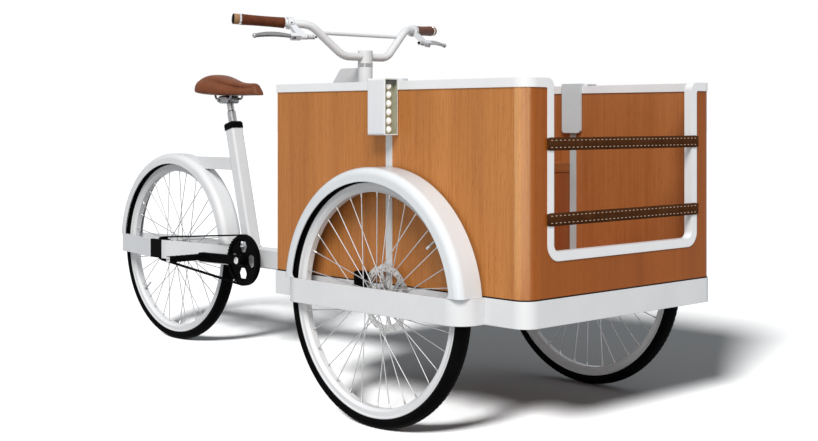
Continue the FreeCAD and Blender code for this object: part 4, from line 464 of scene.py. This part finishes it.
for label, z in (("lower", strapLow.z + strapWidth / 2), ("upper", strapHigh.z - strapWidth / 2)):
    work = bmesh.new()
    rings = []
    spans = strapShape["spans"]
    for index in range(spans + 1):
        share = index / spans
        y = strapLow.y + (strapHigh.y - strapLow.y) * share
        nearEnd = min(share, 1 - share) * spans
        half = strapWidth / 2 - (strapShape["endTaper"] if nearEnd < 0.5 else 0)
        rings.append(strapSection(strapLow.x + strapShape["backGap"], strapHigh.x - strapShape["faceGap"], y, z, half,
                                  strapShape["edgeRound"]))
    loft(work, rings)
    strap = addPiece(f"{label}Strap", meshOf("strap", work), strapLeather, "front_module",
                     ["entry_straps"])
    sharpen(strap, angle=50)
    work = bmesh.new()
    count = int((strapHigh.y - strapLow.y - strapShape["endGap"]) / strapShape["stitchPitch"])
    for row in (-1, 1):
        for index in range(count):
            middle = strapMiddle.y + (index - (count - 1) / 2) * strapShape["stitchPitch"]
            at = Vector((strapHigh.x - strapShape["threadSunk"], middle - strapShape["stitchLength"] / 2,
                         z + row * (strapWidth / 2 - strapShape["stitchInset"])))
            radius, length = strapShape["threadRadius"], strapShape["stitchLength"]
            turnedRod(work, at, yWay, [(length * along, radius * wide) for along, wide in threadSteps], count=8)
    addPiece(f"{label}StrapStitches", meshOf("stitches", work), stitchThread, "front_module")
print("straps sewn")

# Grips, from the bar's end inwards: dark end, tan band, bright ring and leather sleeve
gripShape = {"radius": 0.0145, "flare": 0.0010, "darkEnd": 0.0022, "tan": 0.0150, "ring": 0.0065, "length": 0.143,
             "sides": 32, "runs": 24, "barEnd": (-0.113, 0.378, 0.096), "endSteps": [(0, 0.80), (0.0012, 0.97)],
             "tanEdge": 0.001, "tanDip": 0.96, "ringEdge": 0.0008, "ringDip": 0.98, "ringSwell": 1.05,
             "sleeveDip": 0.92, "sleeveDrop": 0.4}
gripWay = Vector((-0.088, 0.200, 0.012)).normalized()
columnX = boxOf("stem")[2].x
barRise = 0.9055


def onBar(offset, side):
    return Vector((columnX + offset[0], side * offset[1], barRise + offset[2]))


def alongBar(side):
    return Vector((gripWay.x, gripWay.y * side, gripWay.z))


def bandSteps(start, stop, edge, ends, middle):
    return [(start, ends), (start + edge, middle), (stop - edge, middle), (stop, ends)]


for label, side in bothSides:
    end = onBar(gripShape["barEnd"], side)
    inward = -alongBar(side)
    radius, sides = gripShape["radius"], gripShape["sides"]
    work = bmesh.new()
    start = gripShape["darkEnd"]
    steps = [(along, radius * wide) for along, wide in gripShape["endSteps"]]
    turnedRod(work, end, inward, steps + [(start, radius)], sides, slotIndex=0)
    stop = start + gripShape["tan"]
    steps = bandSteps(start, stop, gripShape["tanEdge"], radius * gripShape["tanDip"], radius)
    turnedRod(work, end, inward, steps, sides, slotIndex=1)
    start, stop = stop, stop + gripShape["ring"]
    steps = bandSteps(start, stop, gripShape["ringEdge"], radius * gripShape["ringDip"],
                      radius * gripShape["ringSwell"])
    turnedRod(work, end, inward, steps, sides, slotIndex=2)
    steps = []
    for index in range(gripShape["runs"] + 1):
        share = index / gripShape["runs"]
        along = stop + (gripShape["length"] - stop) * share
        swell = gripShape["flare"] * (2 * share - 1) ** 2
        steps.append((along, radius - gripShape["flare"] * gripShape["sleeveDrop"] + swell))
    hem = radius * gripShape["sleeveDip"]
    steps = [(steps[0][0], hem)] + steps + [(steps[-1][0], hem)]
    turnedRod(work, end, inward, steps, sides, slotIndex=3)
    grip = addPiece(f"{label}Grip", meshOf("grip", work), blackMetal, "front_module", ["grips"],
                    (tanLeather, brightSteel, gripLeather))
    sharpen(grip, angle=40)
print("grips wrapped")

# Saddle: crowned leather over foam with a raised tail, a sloping nose, and a seam and a fold along each side
saddleLow, saddleHigh = boxOf("saddle")[:2]
saddleShape = {"stations": 36, "sides": 64, "noseSlope": 0.020, "seam": 0.0009, "seamStep": 7, "foldReach": 0.14,
               "shoulder": 0.22, "noseShare": 0.3, "sideCurve": 0.84, "topCurve": 0.92, "underCurve": 0.45,
               "underTuck": 0.16, "tuckCurve": 1.5,
               "half": [(0, 0.0105), (0.05, 0.0195), (0.2, 0.0240), (0.4, 0.0335), (0.6, 0.0560), (0.8, 0.0770),
                        (0.9, 0.0765), (0.96, 0.0660), (1, 0.0440)],
               "top": [(0, 0.0300), (0.06, 0.0372), (0.2, 0.0385), (0.36, 0.0425), (0.55, 0.0545), (0.72, 0.0660),
                       (0.83, 0.0690), (0.92, 0.0650), (1, 0.0470)],
               "base": [(0, 0.0), (0.6, 0.0008), (0.85, 0.0040), (1, 0.0095)],
               "fold": [(0, 0.60), (0.3, 0.58), (0.55, 0.62), (0.8, 0.78), (1, 0.88)],
               "foldDepth": [(0, 0.0004), (0.15, 0.0042), (0.4, 0.0092), (0.62, 0.0100), (0.85, 0.0046), (1, 0.0)]}


def flowAt(stops, share):
    last = len(stops) - 1
    for index in range(last):
        (before, low), (after, high) = stops[index], stops[index + 1]
        if share <= after or index == last - 1:
            gap = after - before
            part = (share - before) / gap
            inSlope = (high - stops[index - 1][1]) / (after - stops[index - 1][0]) if index else (high - low) / gap
            outSlope = ((stops[index + 2][1] - low) / (stops[index + 2][0] - before) if index + 2 <= last
                        else (high - low) / gap)
            square, cube = part * part, part ** 3
            return ((2 * cube - 3 * square + 1) * low + (cube - 2 * square + part) * gap * inSlope
                    + (3 * square - 2 * cube) * high + (cube - square) * gap * outSlope)


def saddleRing(shape, share):
    half, top, base, fold, depth = (flowAt(shape[key], share) for key in ("half", "top", "base", "fold", "foldDepth"))
    x = saddleHigh.x + (saddleLow.x - saddleHigh.x) * share
    slope = shape["noseSlope"] * max(0, 1 - share / shape["noseShare"]) ** 2
    shoulder = shape["shoulder"]
    ring = []
    for index in range(shape["sides"]):
        turn = math.tau * index / shape["sides"]
        c, s = math.cos(turn), math.sin(turn)
        across = math.copysign(abs(c) ** shape["sideCurve"], c)
        if s >= 0:
            up = shoulder + (1 - shoulder) * s ** shape["topCurve"]
            drawn = depth / half * math.exp(-((up - fold) / shape["foldReach"]) ** 2)
            across -= math.copysign(min(drawn, abs(across)), c)
        else:
            up = shoulder * (1 - (-s) ** shape["underCurve"])
            across *= 1 - shape["underTuck"] * (-s) ** shape["tuckCurve"]
        onSeam = index in (shape["seamStep"], shape["sides"] // 2 - shape["seamStep"])
        sunk = 1 - shape["seam"] / half if onSeam else 1
        ring.append(Vector((x - slope * up, across * half * sunk, saddleLow.z + base + (top - base) * up * sunk)))
    return ring


work = bmesh.new()
stations = saddleShape["stations"]
loft(work, [saddleRing(saddleShape, (1 - math.cos(math.pi * index / stations)) / 2) for index in range(stations + 1)])
saddle = addPiece("saddlePad", meshOf("saddlePad", work), saddleLeather, "seat", ["saddle"])
smoother = saddle.modifiers.new("rounding", "SUBSURF")
smoother.levels = 1
smoother.render_levels = 1
print("saddle shaped")

# Toothed belt round both pulleys
beltShape = {"pitch": 0.011, "ringTeeth": 44, "sprocketTeeth": 22, "gap": 0.0003, "thick": 0.0024,
             "toothDepth": 0.0022, "pitchLine": 0.00095,
             "tooth": [(0.0, 1.0), (0.18, 0.85), (0.30, 0.0), (0.70, 0.0), (0.82, 0.85)]}
ringMiddle = boxOf("chainring")[2]
sprocketMiddle = boxOf("rear_sprocket")[2]
beltLow, beltHigh = boxOf("drive_belt")[:2]


def beltInside(teeth):
    return teeth * beltShape["pitch"] / math.tau - beltShape["pitchLine"] + beltShape["gap"]


def beltPath():
    front, rear = ringMiddle, sprocketMiddle
    frontRadius, rearRadius = beltInside(beltShape["ringTeeth"]), beltInside(beltShape["sprocketTeeth"])
    run = rear - front
    heading = math.atan2(run.z, run.x)
    spread = math.acos((frontRadius - rearRadius) / run.length)

    def onArc(centre, radius, start, stop, pitchTurn):
        marks = []
        for step in range(math.ceil(start / pitchTurn), math.floor(stop / pitchTurn) + 1):
            turn = step * pitchTurn
            out = Vector((math.cos(turn), 0, math.sin(turn)))
            marks.append((centre + out * radius, out))
        return marks

    def onRun(start, stop):
        span = stop[0] - start[0]
        count = round(span.length / beltShape["pitch"])
        shares = [step / count for step in range(1, count)]
        return [(start[0] + span * share, start[1].lerp(stop[1], share).normalized()) for share in shares]

    rearTurn, frontTurn = math.tau / beltShape["sprocketTeeth"], math.tau / beltShape["ringTeeth"]
    rearArc = onArc(rear, rearRadius, heading - spread, heading + spread, rearTurn)
    frontArc = onArc(front, frontRadius, heading + spread, heading - spread + math.tau, frontTurn)
    return rearArc + onRun(rearArc[-1], frontArc[0]) + frontArc + onRun(frontArc[-1], rearArc[0])


work = bmesh.new()
marks = beltPath()
rings = []
for index, (spot, out) in enumerate(marks):
    nextSpot, nextOut = marks[(index + 1) % len(marks)]
    for share, depth in beltShape["tooth"]:
        point = spot.lerp(nextSpot, share)
        outward = out.lerp(nextOut, share).normalized()
        inner = point - outward * (beltShape["toothDepth"] * depth)
        outer = point + outward * beltShape["thick"]
        rings.append([Vector((inner.x, beltLow.y, inner.z)), Vector((outer.x, beltLow.y, outer.z)),
                      Vector((outer.x, beltHigh.y, outer.z)), Vector((inner.x, beltHigh.y, inner.z))])
loft(work, rings, closed=True)
belt = addPiece("toothedBelt", meshOf("toothedBelt", work), beltRubber, "rear_frame", ["drive_belt"])
sharpen(belt, angle=30)
print("belt toothed:", len(marks), "teeth")

# Fittings on the wheels: nipples at the rim, the valve, and the bolts that hold a rotor
wheelFittings = {"bedRadius": 0.255, "spokeEnd": 0.260, "spokes": 32, "crossed": 6, "hole": 0.023, "face": 0.00295,
                 "rimOffset": 0.016 / 6, "valveReach": 0.038, "rotorBolts": 6, "boltCircle": 0.0236,
                 "valveSunk": 0.0005, "boltSunk": 0.0002}
valveCap = [(0, 0.0022), (0.0006, 0.0030), (0.0052, 0.0030), (0.0060, 0.0026)]
valveStem = [(0.0056, 0.0026), (0.0345, 0.0026)]
valveNut = [(0.0340, 0.0046), (0.0345, 0.0050), (0.0380, 0.0050), (0.0385, 0.0046)]
boltSteps = [(0, 0.0034), (0.0014, 0.0034), (0.0022, 0.0026), (0.0022, 0.0013), (0.0010, 0.0012)]
nippleSteps = [(0.0035, 0.0026), (0.0065, 0.0026), (0.0072, 0.0021), (0.0155, 0.0019), (0.0160, 0.0013)]
valveTurns = {"right": 37.5, "left": 37.5, "rear": 217.5}
flangeSpread = {"right": 0.017, "left": 0.017, "rear": 0.028}


def polar(radius, turn, across=0.0):
    return Vector((radius * math.cos(turn), across, radius * math.sin(turn)))


for side, (body, centre) in wheelPlaces.items():
    flip = -1 if side == "left" else 1
    step = math.tau / wheelFittings["spokes"]
    work = bmesh.new()
    for index in range(wheelFittings["spokes"]):
        half = 1 if index % 2 == 0 else -1
        lead = 1 if (index // 2) % 2 == 0 else -1
        flangeY = half * (flangeSpread[side] + lead * wheelFittings["face"]) * flip
        inner = polar(wheelFittings["hole"], index * step + lead * wheelFittings["crossed"] * step, flangeY)
        outer = polar(wheelFittings["spokeEnd"], index * step, half * wheelFittings["rimOffset"] * flip)
        turnedRod(work, centre + outer, (inner - outer).normalized(), nippleSteps, count=8)
    addPiece(f"{side}Nipples", meshOf("nipples", work), brassNipple, body)
    work = bmesh.new()
    out = polar(1, math.radians(valveTurns[side]))
    tip = centre + out * (wheelFittings["bedRadius"] - wheelFittings["valveReach"] - wheelFittings["valveSunk"])
    turnedRod(work, tip, out, valveCap, count=16, slotIndex=0)
    turnedRod(work, tip, out, valveStem, count=16, slotIndex=1)
    turnedRod(work, tip, out, valveNut, count=6, slotIndex=1)
    valve = addPiece(f"{side}Valve", meshOf("valve", work), darkSteel, body, (), (greySteel,))
    sharpen(valve)
    if side == "rear":
        continue
    work = bmesh.new()
    rotorLow, rotorHigh = boxOf(f"{side}_rotor")[:2]
    boxward = yWay * flip
    faceY = rotorHigh.y if flip > 0 else rotorLow.y
    for index in range(wheelFittings["rotorBolts"]):
        spot = centre + polar(wheelFittings["boltCircle"], math.tau * index / wheelFittings["rotorBolts"])
        spot.y = faceY - flip * wheelFittings["boltSunk"]
        turnedRod(work, spot, boxward, boltSteps, count=12)
    bolts = addPiece(f"{side}RotorBolts", meshOf("rotorBolts", work), greySteel, body)
    sharpen(bolts)
print("wheels fitted out")

# Bright caps on the crank bolts and plates on the ends of the pedals
driveFittings = {"capFace": 0.084, "capRadius": 0.0104, "plateHalf": 0.0086, "plateCorner": 0.0028,
                 "plateThickness": 0.0012, "plateFlat": 0.95, "plateRound": 0.6, "plateTop": (0.94, 0.89),
                 "sunk": 0.0003}
capSteps = [(0, 1), (0.0012, 1), (0.0020, 0.92), (0.0024, 0.45), (0.0010, 0.40)]
holeSteps = [(-0.0002, 0.0030), (0.0004, 0.0028)]


def roundedRing(centre, first, second, halfFirst, halfSecond, corner, steps=5):
    ring = []
    for quarter, (a, b) in enumerate(((1, 1), (-1, 1), (-1, -1), (1, -1))):
        for index in range(steps + 1):
            turn = math.pi / 2 * (quarter + index / steps)
            across = a * (halfFirst - corner) + corner * math.cos(turn)
            up = b * (halfSecond - corner) + corner * math.sin(turn)
            ring.append(centre + first * across + second * up)
    return ring


for label, side in bothSides:
    out = yWay * side
    work = bmesh.new()
    hub = Vector((ringMiddle.x, side * driveFittings["capFace"] - side * driveFittings["sunk"], ringMiddle.z))
    radius = driveFittings["capRadius"]
    turnedRod(work, hub, out, [(along, radius * wide) for along, wide in capSteps], count=28)
    cap = addPiece(f"{label}CrankCap", meshOf("crankCap", work), brightSteel, "crank")
    sharpen(cap)
    pedalLow, pedalHigh, pedalMiddle = boxOf(f"{label}_pedal")
    face = Vector((pedalMiddle.x, pedalLow.y if side < 0 else pedalHigh.y, pedalMiddle.z))
    size, corner = driveFittings["plateHalf"], driveFittings["plateCorner"]
    tall = size * driveFittings["plateFlat"]
    thick = driveFittings["plateThickness"]
    topWide, topTall = (size * share for share in driveFittings["plateTop"])
    work = bmesh.new()
    loft(work, [roundedRing(face - out * driveFittings["sunk"], xWay, zWay, size, tall, corner),
                roundedRing(face + out * thick * driveFittings["plateRound"], xWay, zWay, size, tall, corner),
                roundedRing(face + out * thick, xWay, zWay, topWide, topTall, corner)])
    turnedRod(work, face + out * thick, out, holeSteps, count=16, slotIndex=1)
    plate = addPiece(f"{label}PedalPlate", meshOf("pedalPlate", work), brightSteel, f"{label}_pedal_body",
                     (), (blackMetal,))
    sharpen(plate)
print("drive fitted out")

# Cable adjusters and clamp screws of the brake levers
leverFittings = {"pivot": (-0.006, 0.256, 0.048), "tip": (-0.044, 0.363, 0.048), "start": 0.0398, "stop": 0.0622,
                 "radius": 0.0065, "flute": 0.0004, "grooves": 5, "clampHalf": 0.232, "upper": (-0.025, 0.178, 0.084),
                 "screwSet": 0.0166, "startEdge": 0.0008, "startDip": 0.9, "grooveFrom": 0.003, "grooveSpare": 0.008,
                 "nose": 0.003, "noseDip": 0.62}
grooveSteps = [(0, 0), (0.0006, 1), (0.0018, 1), (0.0024, 0)]
ferruleSteps = [(-0.001, 0.0028), (0.006, 0.0028), (0.0066, 0.0022)]
screwHead = [(0, 0.0044), (0.0016, 0.0044), (0.0022, 0.0038), (0.0022, 0.0022)]
screwHole = [(0.0015, 0.0022), (0.0023, 0.0021)]
for label, side in bothSides:
    pivot, tip = onBar(leverFittings["pivot"], side), onBar(leverFittings["tip"], side)
    inward = (pivot - tip).normalized()
    radius, flute = leverFittings["radius"], leverFittings["flute"]
    start, stop = leverFittings["start"], leverFittings["stop"]
    steps = [(start, radius * leverFittings["startDip"]), (start + leverFittings["startEdge"], radius)]
    grooveRun = stop - start - leverFittings["grooveSpare"]
    for index in range(leverFittings["grooves"]):
        along = start + leverFittings["grooveFrom"] + grooveRun * index / leverFittings["grooves"]
        steps += [(along + step, radius - flute * cut) for step, cut in grooveSteps]
    steps += [(stop - leverFittings["nose"], radius), (stop, radius * leverFittings["noseDip"])]
    work = bmesh.new()
    turnedRod(work, pivot, inward, steps, count=24, slotIndex=0)
    turnedRod(work, pivot, inward, [(stop + step, wide) for step, wide in ferruleSteps], count=14, slotIndex=1)
    adjuster = addPiece(f"{label}Adjuster", meshOf("adjuster", work), darkSteel, "front_module", (),
                        (blackMetal,))
    sharpen(adjuster)
    upper = onBar(leverFittings["upper"], side)
    barWay = alongBar(side)
    clamp = upper + barWay * ((leverFittings["clampHalf"] - abs(upper.y)) / abs(barWay.y))
    ahead = (xWay - barWay * xWay.dot(barWay)).normalized()
    work = bmesh.new()
    screwAt = clamp + ahead * leverFittings["screwSet"]
    turnedRod(work, screwAt, ahead, screwHead, count=18, slotIndex=0)
    turnedRod(work, screwAt, ahead, screwHole, count=6, slotIndex=1)
    screw = addPiece(f"{label}ClampScrew", meshOf("clampScrew", work), brightSteel, "front_module", (),
                     (blackMetal,))
    sharpen(screw)
print("levers fitted out")

# Thin dark strip along the joint between the plywood and the sill, a painted shadow line, and the end caps inside the
# lamp trays
jointShadowShape = {"corner": 0.034, "proud": 0.0011, "sunk": 0.0006, "height": 0.0030, "steps": 8, "backGap": 0.0005,
             "topShare": 0.6}


def jointShadowPath():
    corner = jointShadowShape["corner"]
    half = shellHigh.y
    back = shellLow.x + jointShadowShape["backGap"]
    steps = jointShadowShape["steps"]
    path = [(Vector((back, -half, 0)), -yWay)]
    for side in (-1, 1):
        middle = Vector((shellHigh.x - corner, side * (half - corner), 0))
        for index in range(steps + 1):
            share = index / steps if side < 0 else 1 - index / steps
            out = Vector((math.sin(math.pi / 2 * share), side * math.cos(math.pi / 2 * share), 0))
            path.append((middle + out * corner, out))
    path.append((Vector((back, half, 0)), yWay))
    return path


work = bmesh.new()
rings = []
for spot, out in jointShadowPath():
    low = spot + zWay * shellLow.z
    high = low + zWay * jointShadowShape["height"]
    rings.append([low - out * jointShadowShape["sunk"], low + out * jointShadowShape["proud"],
                  high + out * jointShadowShape["proud"] * jointShadowShape["topShare"], high - out * jointShadowShape["sunk"]])
loft(work, rings)
jointShadow = addPiece("boxJointShadow", meshOf("boxJointShadow", work), jointShadowRubber, "front_module")
sharpen(jointShadow, angle=40)

lampFittings = {"trayWidth": 0.037, "wall": 0.0014, "capHeight": 0.0095, "capBack": 0.0105, "capFront": 0.0012,
                "corner": 0.0036, "chamfer": 0.0008}
bezelLow, bezelHigh = boxOf("lamp_bezels")[:2]
for label, side in bothSides:
    outerY = bezelLow.y if side < 0 else bezelHigh.y
    middleY = outerY - side * lampFittings["trayWidth"] / 2
    halfWidth = lampFittings["trayWidth"] / 2 - lampFittings["wall"]
    top = bezelHigh.z - lampFittings["wall"]
    middle = Vector((0, middleY, top - lampFittings["capHeight"] / 2))
    halfHeight = lampFittings["capHeight"] / 2
    corner, chamfer = lampFittings["corner"], lampFittings["chamfer"]
    back = Vector((bezelHigh.x - lampFittings["capBack"], 0, 0))
    front = Vector((bezelHigh.x - lampFittings["capFront"], 0, 0))
    work = bmesh.new()
    loft(work, [roundedRing(middle + back, yWay, zWay, halfWidth, halfHeight, corner),
                roundedRing(middle + front - xWay * chamfer, yWay, zWay, halfWidth, halfHeight, corner),
                roundedRing(middle + front, yWay, zWay, halfWidth - chamfer, halfHeight - chamfer, corner)])
    cap = addPiece(f"{label}LampCap", meshOf("lampCap", work), capGrey, "front_module")
    sharpen(cap)
print("seal and lamp caps set")

# Cradle under the saddle: a rounded head on the post, a cross bolt and two bent rails
cradleLow, cradleMiddle = boxOf("saddle_clamp")[::2]
cradleShape = {"railLift": 0.0158, "railGap": 0.022, "railRadius": 0.0035, "railRun": 0.036, "railRise": 0.0125,
               "railBend": 0.014, "railSides": 14, "railSet": (-0.004, 0.0025), "boltRadius": 0.0032,
               "boltHalf": 0.0305, "boltSet": (-0.019, -0.003), "boltHead": (1.4, 1.75), "headOut": 0.0012,
               "headIn": 0.0022, "headRound": 0.55, "postSet": 0.0075, "tipOut": 0.55,
               "railArc": [(0.45, 0.80), (0.20, 0.22), (0, 0)],
               "head": [(-0.0315, 0.014, 0.0060), (-0.0290, 0.0220, 0.0094), (-0.0240, 0.0265, 0.0114),
                        (-0.0100, 0.0290, 0.0126), (0.0120, 0.0280, 0.0122), (0.0180, 0.0240, 0.0104),
                        (0.0215, 0.0160, 0.0066)]}


def bentRail(work, run, rise, spot, radius):
    bend, count = cradleShape["railBend"], cradleShape["railSides"]
    path = []
    arc = [(run + bend * cradleShape["tipOut"], rise)]
    arc += [(run + bend * out, bend * up) for out, up in cradleShape["railArc"]]
    for side in (1, -1):
        path += [Vector((side * along, 0, up)) for along, up in arc[::side]]
    rings = []
    for index, point in enumerate(path):
        way = (path[min(index + 1, len(path) - 1)] - path[max(index - 1, 0)]).normalized()
        lift = way.cross(yWay)
        turns = [math.tau * step / count for step in range(count)]
        rings.append([spot + point + yWay * (radius * math.cos(t)) + lift * (radius * math.sin(t)) for t in turns])
    loft(work, rings)


work = bmesh.new()
railZ = cradleLow.z + cradleShape["railLift"]
cradleX = cradleMiddle.x + cradleShape["postSet"]
loft(work, [roundedRing(Vector((cradleX + along, 0, railZ)), yWay, zWay, wide, tall, tall * cradleShape["headRound"])
            for along, wide, tall in cradleShape["head"]])
back, lift = cradleShape["railSet"]
for side in (-1, 1):
    spot = Vector((cradleX + back, side * cradleShape["railGap"], railZ + lift))
    bentRail(work, cradleShape["railRun"], cradleShape["railRise"], spot, cradleShape["railRadius"])
bolt, reach = cradleShape["boltRadius"], cradleShape["boltHalf"]
back, drop = cradleShape["boltSet"]
boltAt = Vector((cradleX + back, -reach, railZ + drop))
headOut, headIn = cradleShape["headOut"], cradleShape["headIn"]
crown, brim = (bolt * share for share in cradleShape["boltHead"])
turnedRod(work, boltAt, yWay, [(-headOut, crown), (headIn, brim), (headIn, bolt), (2 * reach - headIn, bolt),
                               (2 * reach - headIn, brim), (2 * reach + headOut, crown)], count=18)
cradle = addPiece("saddleCradle", meshOf("saddleCradle", work), darkSteel, "seat", ["saddle_clamp"])
sharpen(cradle, angle=45)
print("saddle cradle set")

# Floor, background, light and camera
studio = {"floorHalf": 60.0, "floorBounce": 0.165, "floorShown": 0.44, "skyLight": 0.38, "skyTint": (0.90, 0.955, 1.0),
          "sunStrength": 2.88, "sunTint": (1.0, 0.985, 0.965), "sunAngle": 26, "sunFrom": (0.72, -0.83, 1.22),
          "castStrength": 14, "castAngle": 12, "castFrom": (0.71, -1.5, 1.0), "sunReach": 4,
          "stripPower": 13, "stripFrom": (2.75, -3.05, 0.85), "stripAt": (0.95, -0.35, 0.6), "stripSize": (0.5, 1.6),
          "cardPower": 92, "cardTint": (0.92, 1.0, 0.66), "cardTurns": (-15, 24, 63), "cardReach": 2.6,
          "cardSize": (1.84, 1.36), "cardInset": 0.03, "cardLift": 0.02}


def shownRays(tree):
    rays = addNode(tree, "ShaderNodeLightPath")
    seen = addNode(tree, "ShaderNodeMath", {"operation": "MAXIMUM"})
    tree.links.new(rays.outputs["Is Camera Ray"], seen.inputs[0])
    tree.links.new(rays.outputs["Is Glossy Ray"], seen.inputs[1])
    shown = addNode(tree, "ShaderNodeMath", {"operation": "MAXIMUM"})
    tree.links.new(seen.outputs[0], shown.inputs[0])
    tree.links.new(rays.outputs["Is Transmission Ray"], shown.inputs[1])
    return shown.outputs[0]


def floorFinish():
    finish = bpy.data.materials.new("studioFloor")
    finish.use_nodes = True
    tree = finish.node_tree
    tree.nodes.clear()
    surface = addNode(tree, "ShaderNodeBsdfDiffuse")
    output = addNode(tree, "ShaderNodeOutputMaterial")
    mottle = noise(tree, stretched(tree, (1, 1, 1)), scale=3, detail=3)
    bounce, bright = studio["floorBounce"], studio["floorShown"]
    plain = ramp(tree, mottle, [(0.3, (0.985, 0.985, 0.985)), (0.7, (1, 1, 1))])
    level = addNode(tree, "ShaderNodeMapRange", None, {"To Min": bounce, "To Max": bright})
    tree.links.new(shownRays(tree), level.inputs["Value"])
    tone = addNode(tree, "ShaderNodeVectorMath", {"operation": "SCALE"})
    tree.links.new(plain, tone.inputs[0])
    tree.links.new(level.outputs["Result"], tone.inputs["Scale"])
    tree.links.new(tone.outputs[0], surface.inputs["Color"])
    tree.links.new(surface.outputs[0], output.inputs["Surface"])
    return finish


work = bmesh.new()
half = studio["floorHalf"]
work.faces.new([work.verts.new(corner) for corner in
                ((-half, -half, 0), (half, -half, 0), (half, half, 0), (-half, half, 0))])
floorMesh = meshOf("studioFloor", work)
floorMesh.materials.append(floorFinish())
floor = bpy.data.objects.new("studioFloor", floorMesh)
scene.collection.objects.link(floor)

world = bpy.data.worlds.new("studioWorld")
scene.world = world
world.use_nodes = True
tree = world.node_tree
background = tree.nodes["Background"]
shown = shownRays(tree)
level = addNode(tree, "ShaderNodeMapRange", None, {"To Min": studio["skyLight"], "To Max": 1.0})
tree.links.new(shown, level.inputs["Value"])
tree.links.new(level.outputs["Result"], background.inputs["Strength"])
tree.links.new(mixed(tree, studio["skyTint"], (1, 1, 1), shown), background.inputs["Color"])


def addLight(name, kind, place, target, settings):
    data = bpy.data.lights.new(name, kind)
    for key, value in settings.items():
        setattr(data, key, value)
    lamp = bpy.data.objects.new(name, data)
    lamp.location = place
    lamp.rotation_euler = (Vector(target) - Vector(place)).to_track_quat("-Z", "Y").to_euler()
    scene.collection.objects.link(lamp)
    return lamp


def linkFloor(lamp, name, state):
    reached = bpy.data.collections.new(name)
    reached.objects.link(floor)
    reached.collection_objects[0].light_linking.link_state = state
    lamp.light_linking.receiver_collection = reached


# A broad soft key for the tricycle, and a lower, firmer sun that reaches only the floor and lays the shadow there
keySun = addLight("keySun", "SUN", Vector(studio["sunFrom"]) * studio["sunReach"], (0, 0, 0), {
    "energy": studio["sunStrength"], "angle": math.radians(studio["sunAngle"]), "color": studio["sunTint"]})
linkFloor(keySun, "keyReach", "EXCLUDE")
castSun = addLight("castSun", "SUN", Vector(studio["castFrom"]) * studio["sunReach"], (0, 0, 0), {
    "energy": studio["castStrength"], "angle": math.radians(studio["castAngle"])})
linkFloor(castSun, "castReach", "INCLUDE")
stripBox = addLight("stripBox", "AREA", studio["stripFrom"], studio["stripAt"], {
    "energy": studio["stripPower"], "shape": "RECTANGLE", "size": studio["stripSize"][0],
    "size_y": studio["stripSize"][1]})
linkFloor(stripBox, "stripReach", "EXCLUDE")

# Cards round the near corner of the box, there only to shine in its lacquer
cardReach = bpy.data.collections.new("cardReach")
cardReach.objects.link(nodes["box_shell"])
inset = studio["cardInset"]
cardTarget = Vector((shellHigh.x - inset, shellLow.y + inset, studio["cardSize"][1] / 2 + studio["cardLift"]))
for index, turn in enumerate(studio["cardTurns"]):
    away = Vector((math.sin(math.radians(turn)), -math.cos(math.radians(turn)), 0))
    card = addLight(f"shineCard{index + 1}", "AREA", cardTarget + away * studio["cardReach"], cardTarget, {
        "energy": studio["cardPower"], "color": studio["cardTint"], "shape": "RECTANGLE",
        "size": studio["cardSize"][0], "size_y": studio["cardSize"][1]})
    card.visible_camera = False
    card.visible_diffuse = False
    card.light_linking.receiver_collection = cardReach

viewpoint = {"ahead": 2.3747, "aside": -2.5289, "height": 0.7294, "heading": 46.59, "lens": 59.32,
             "shift": (-0.00155, -0.1235)}
cameraData = bpy.data.cameras.new("photoCamera")
cameraData.sensor_width = 36
cameraData.lens = viewpoint["lens"]
cameraData.shift_x, cameraData.shift_y = viewpoint["shift"]
camera = bpy.data.objects.new("photoCamera", cameraData)
camera.location = (wheelPlaces["right"][1].x + viewpoint["ahead"], viewpoint["aside"], viewpoint["height"])
camera.rotation_euler = (math.radians(90), 0, math.radians(viewpoint["heading"]))
scene.collection.objects.link(camera)
scene.camera = camera
scene.view_settings.view_transform = "Standard"
print("studio set")

bpy.context.view_layer.update()
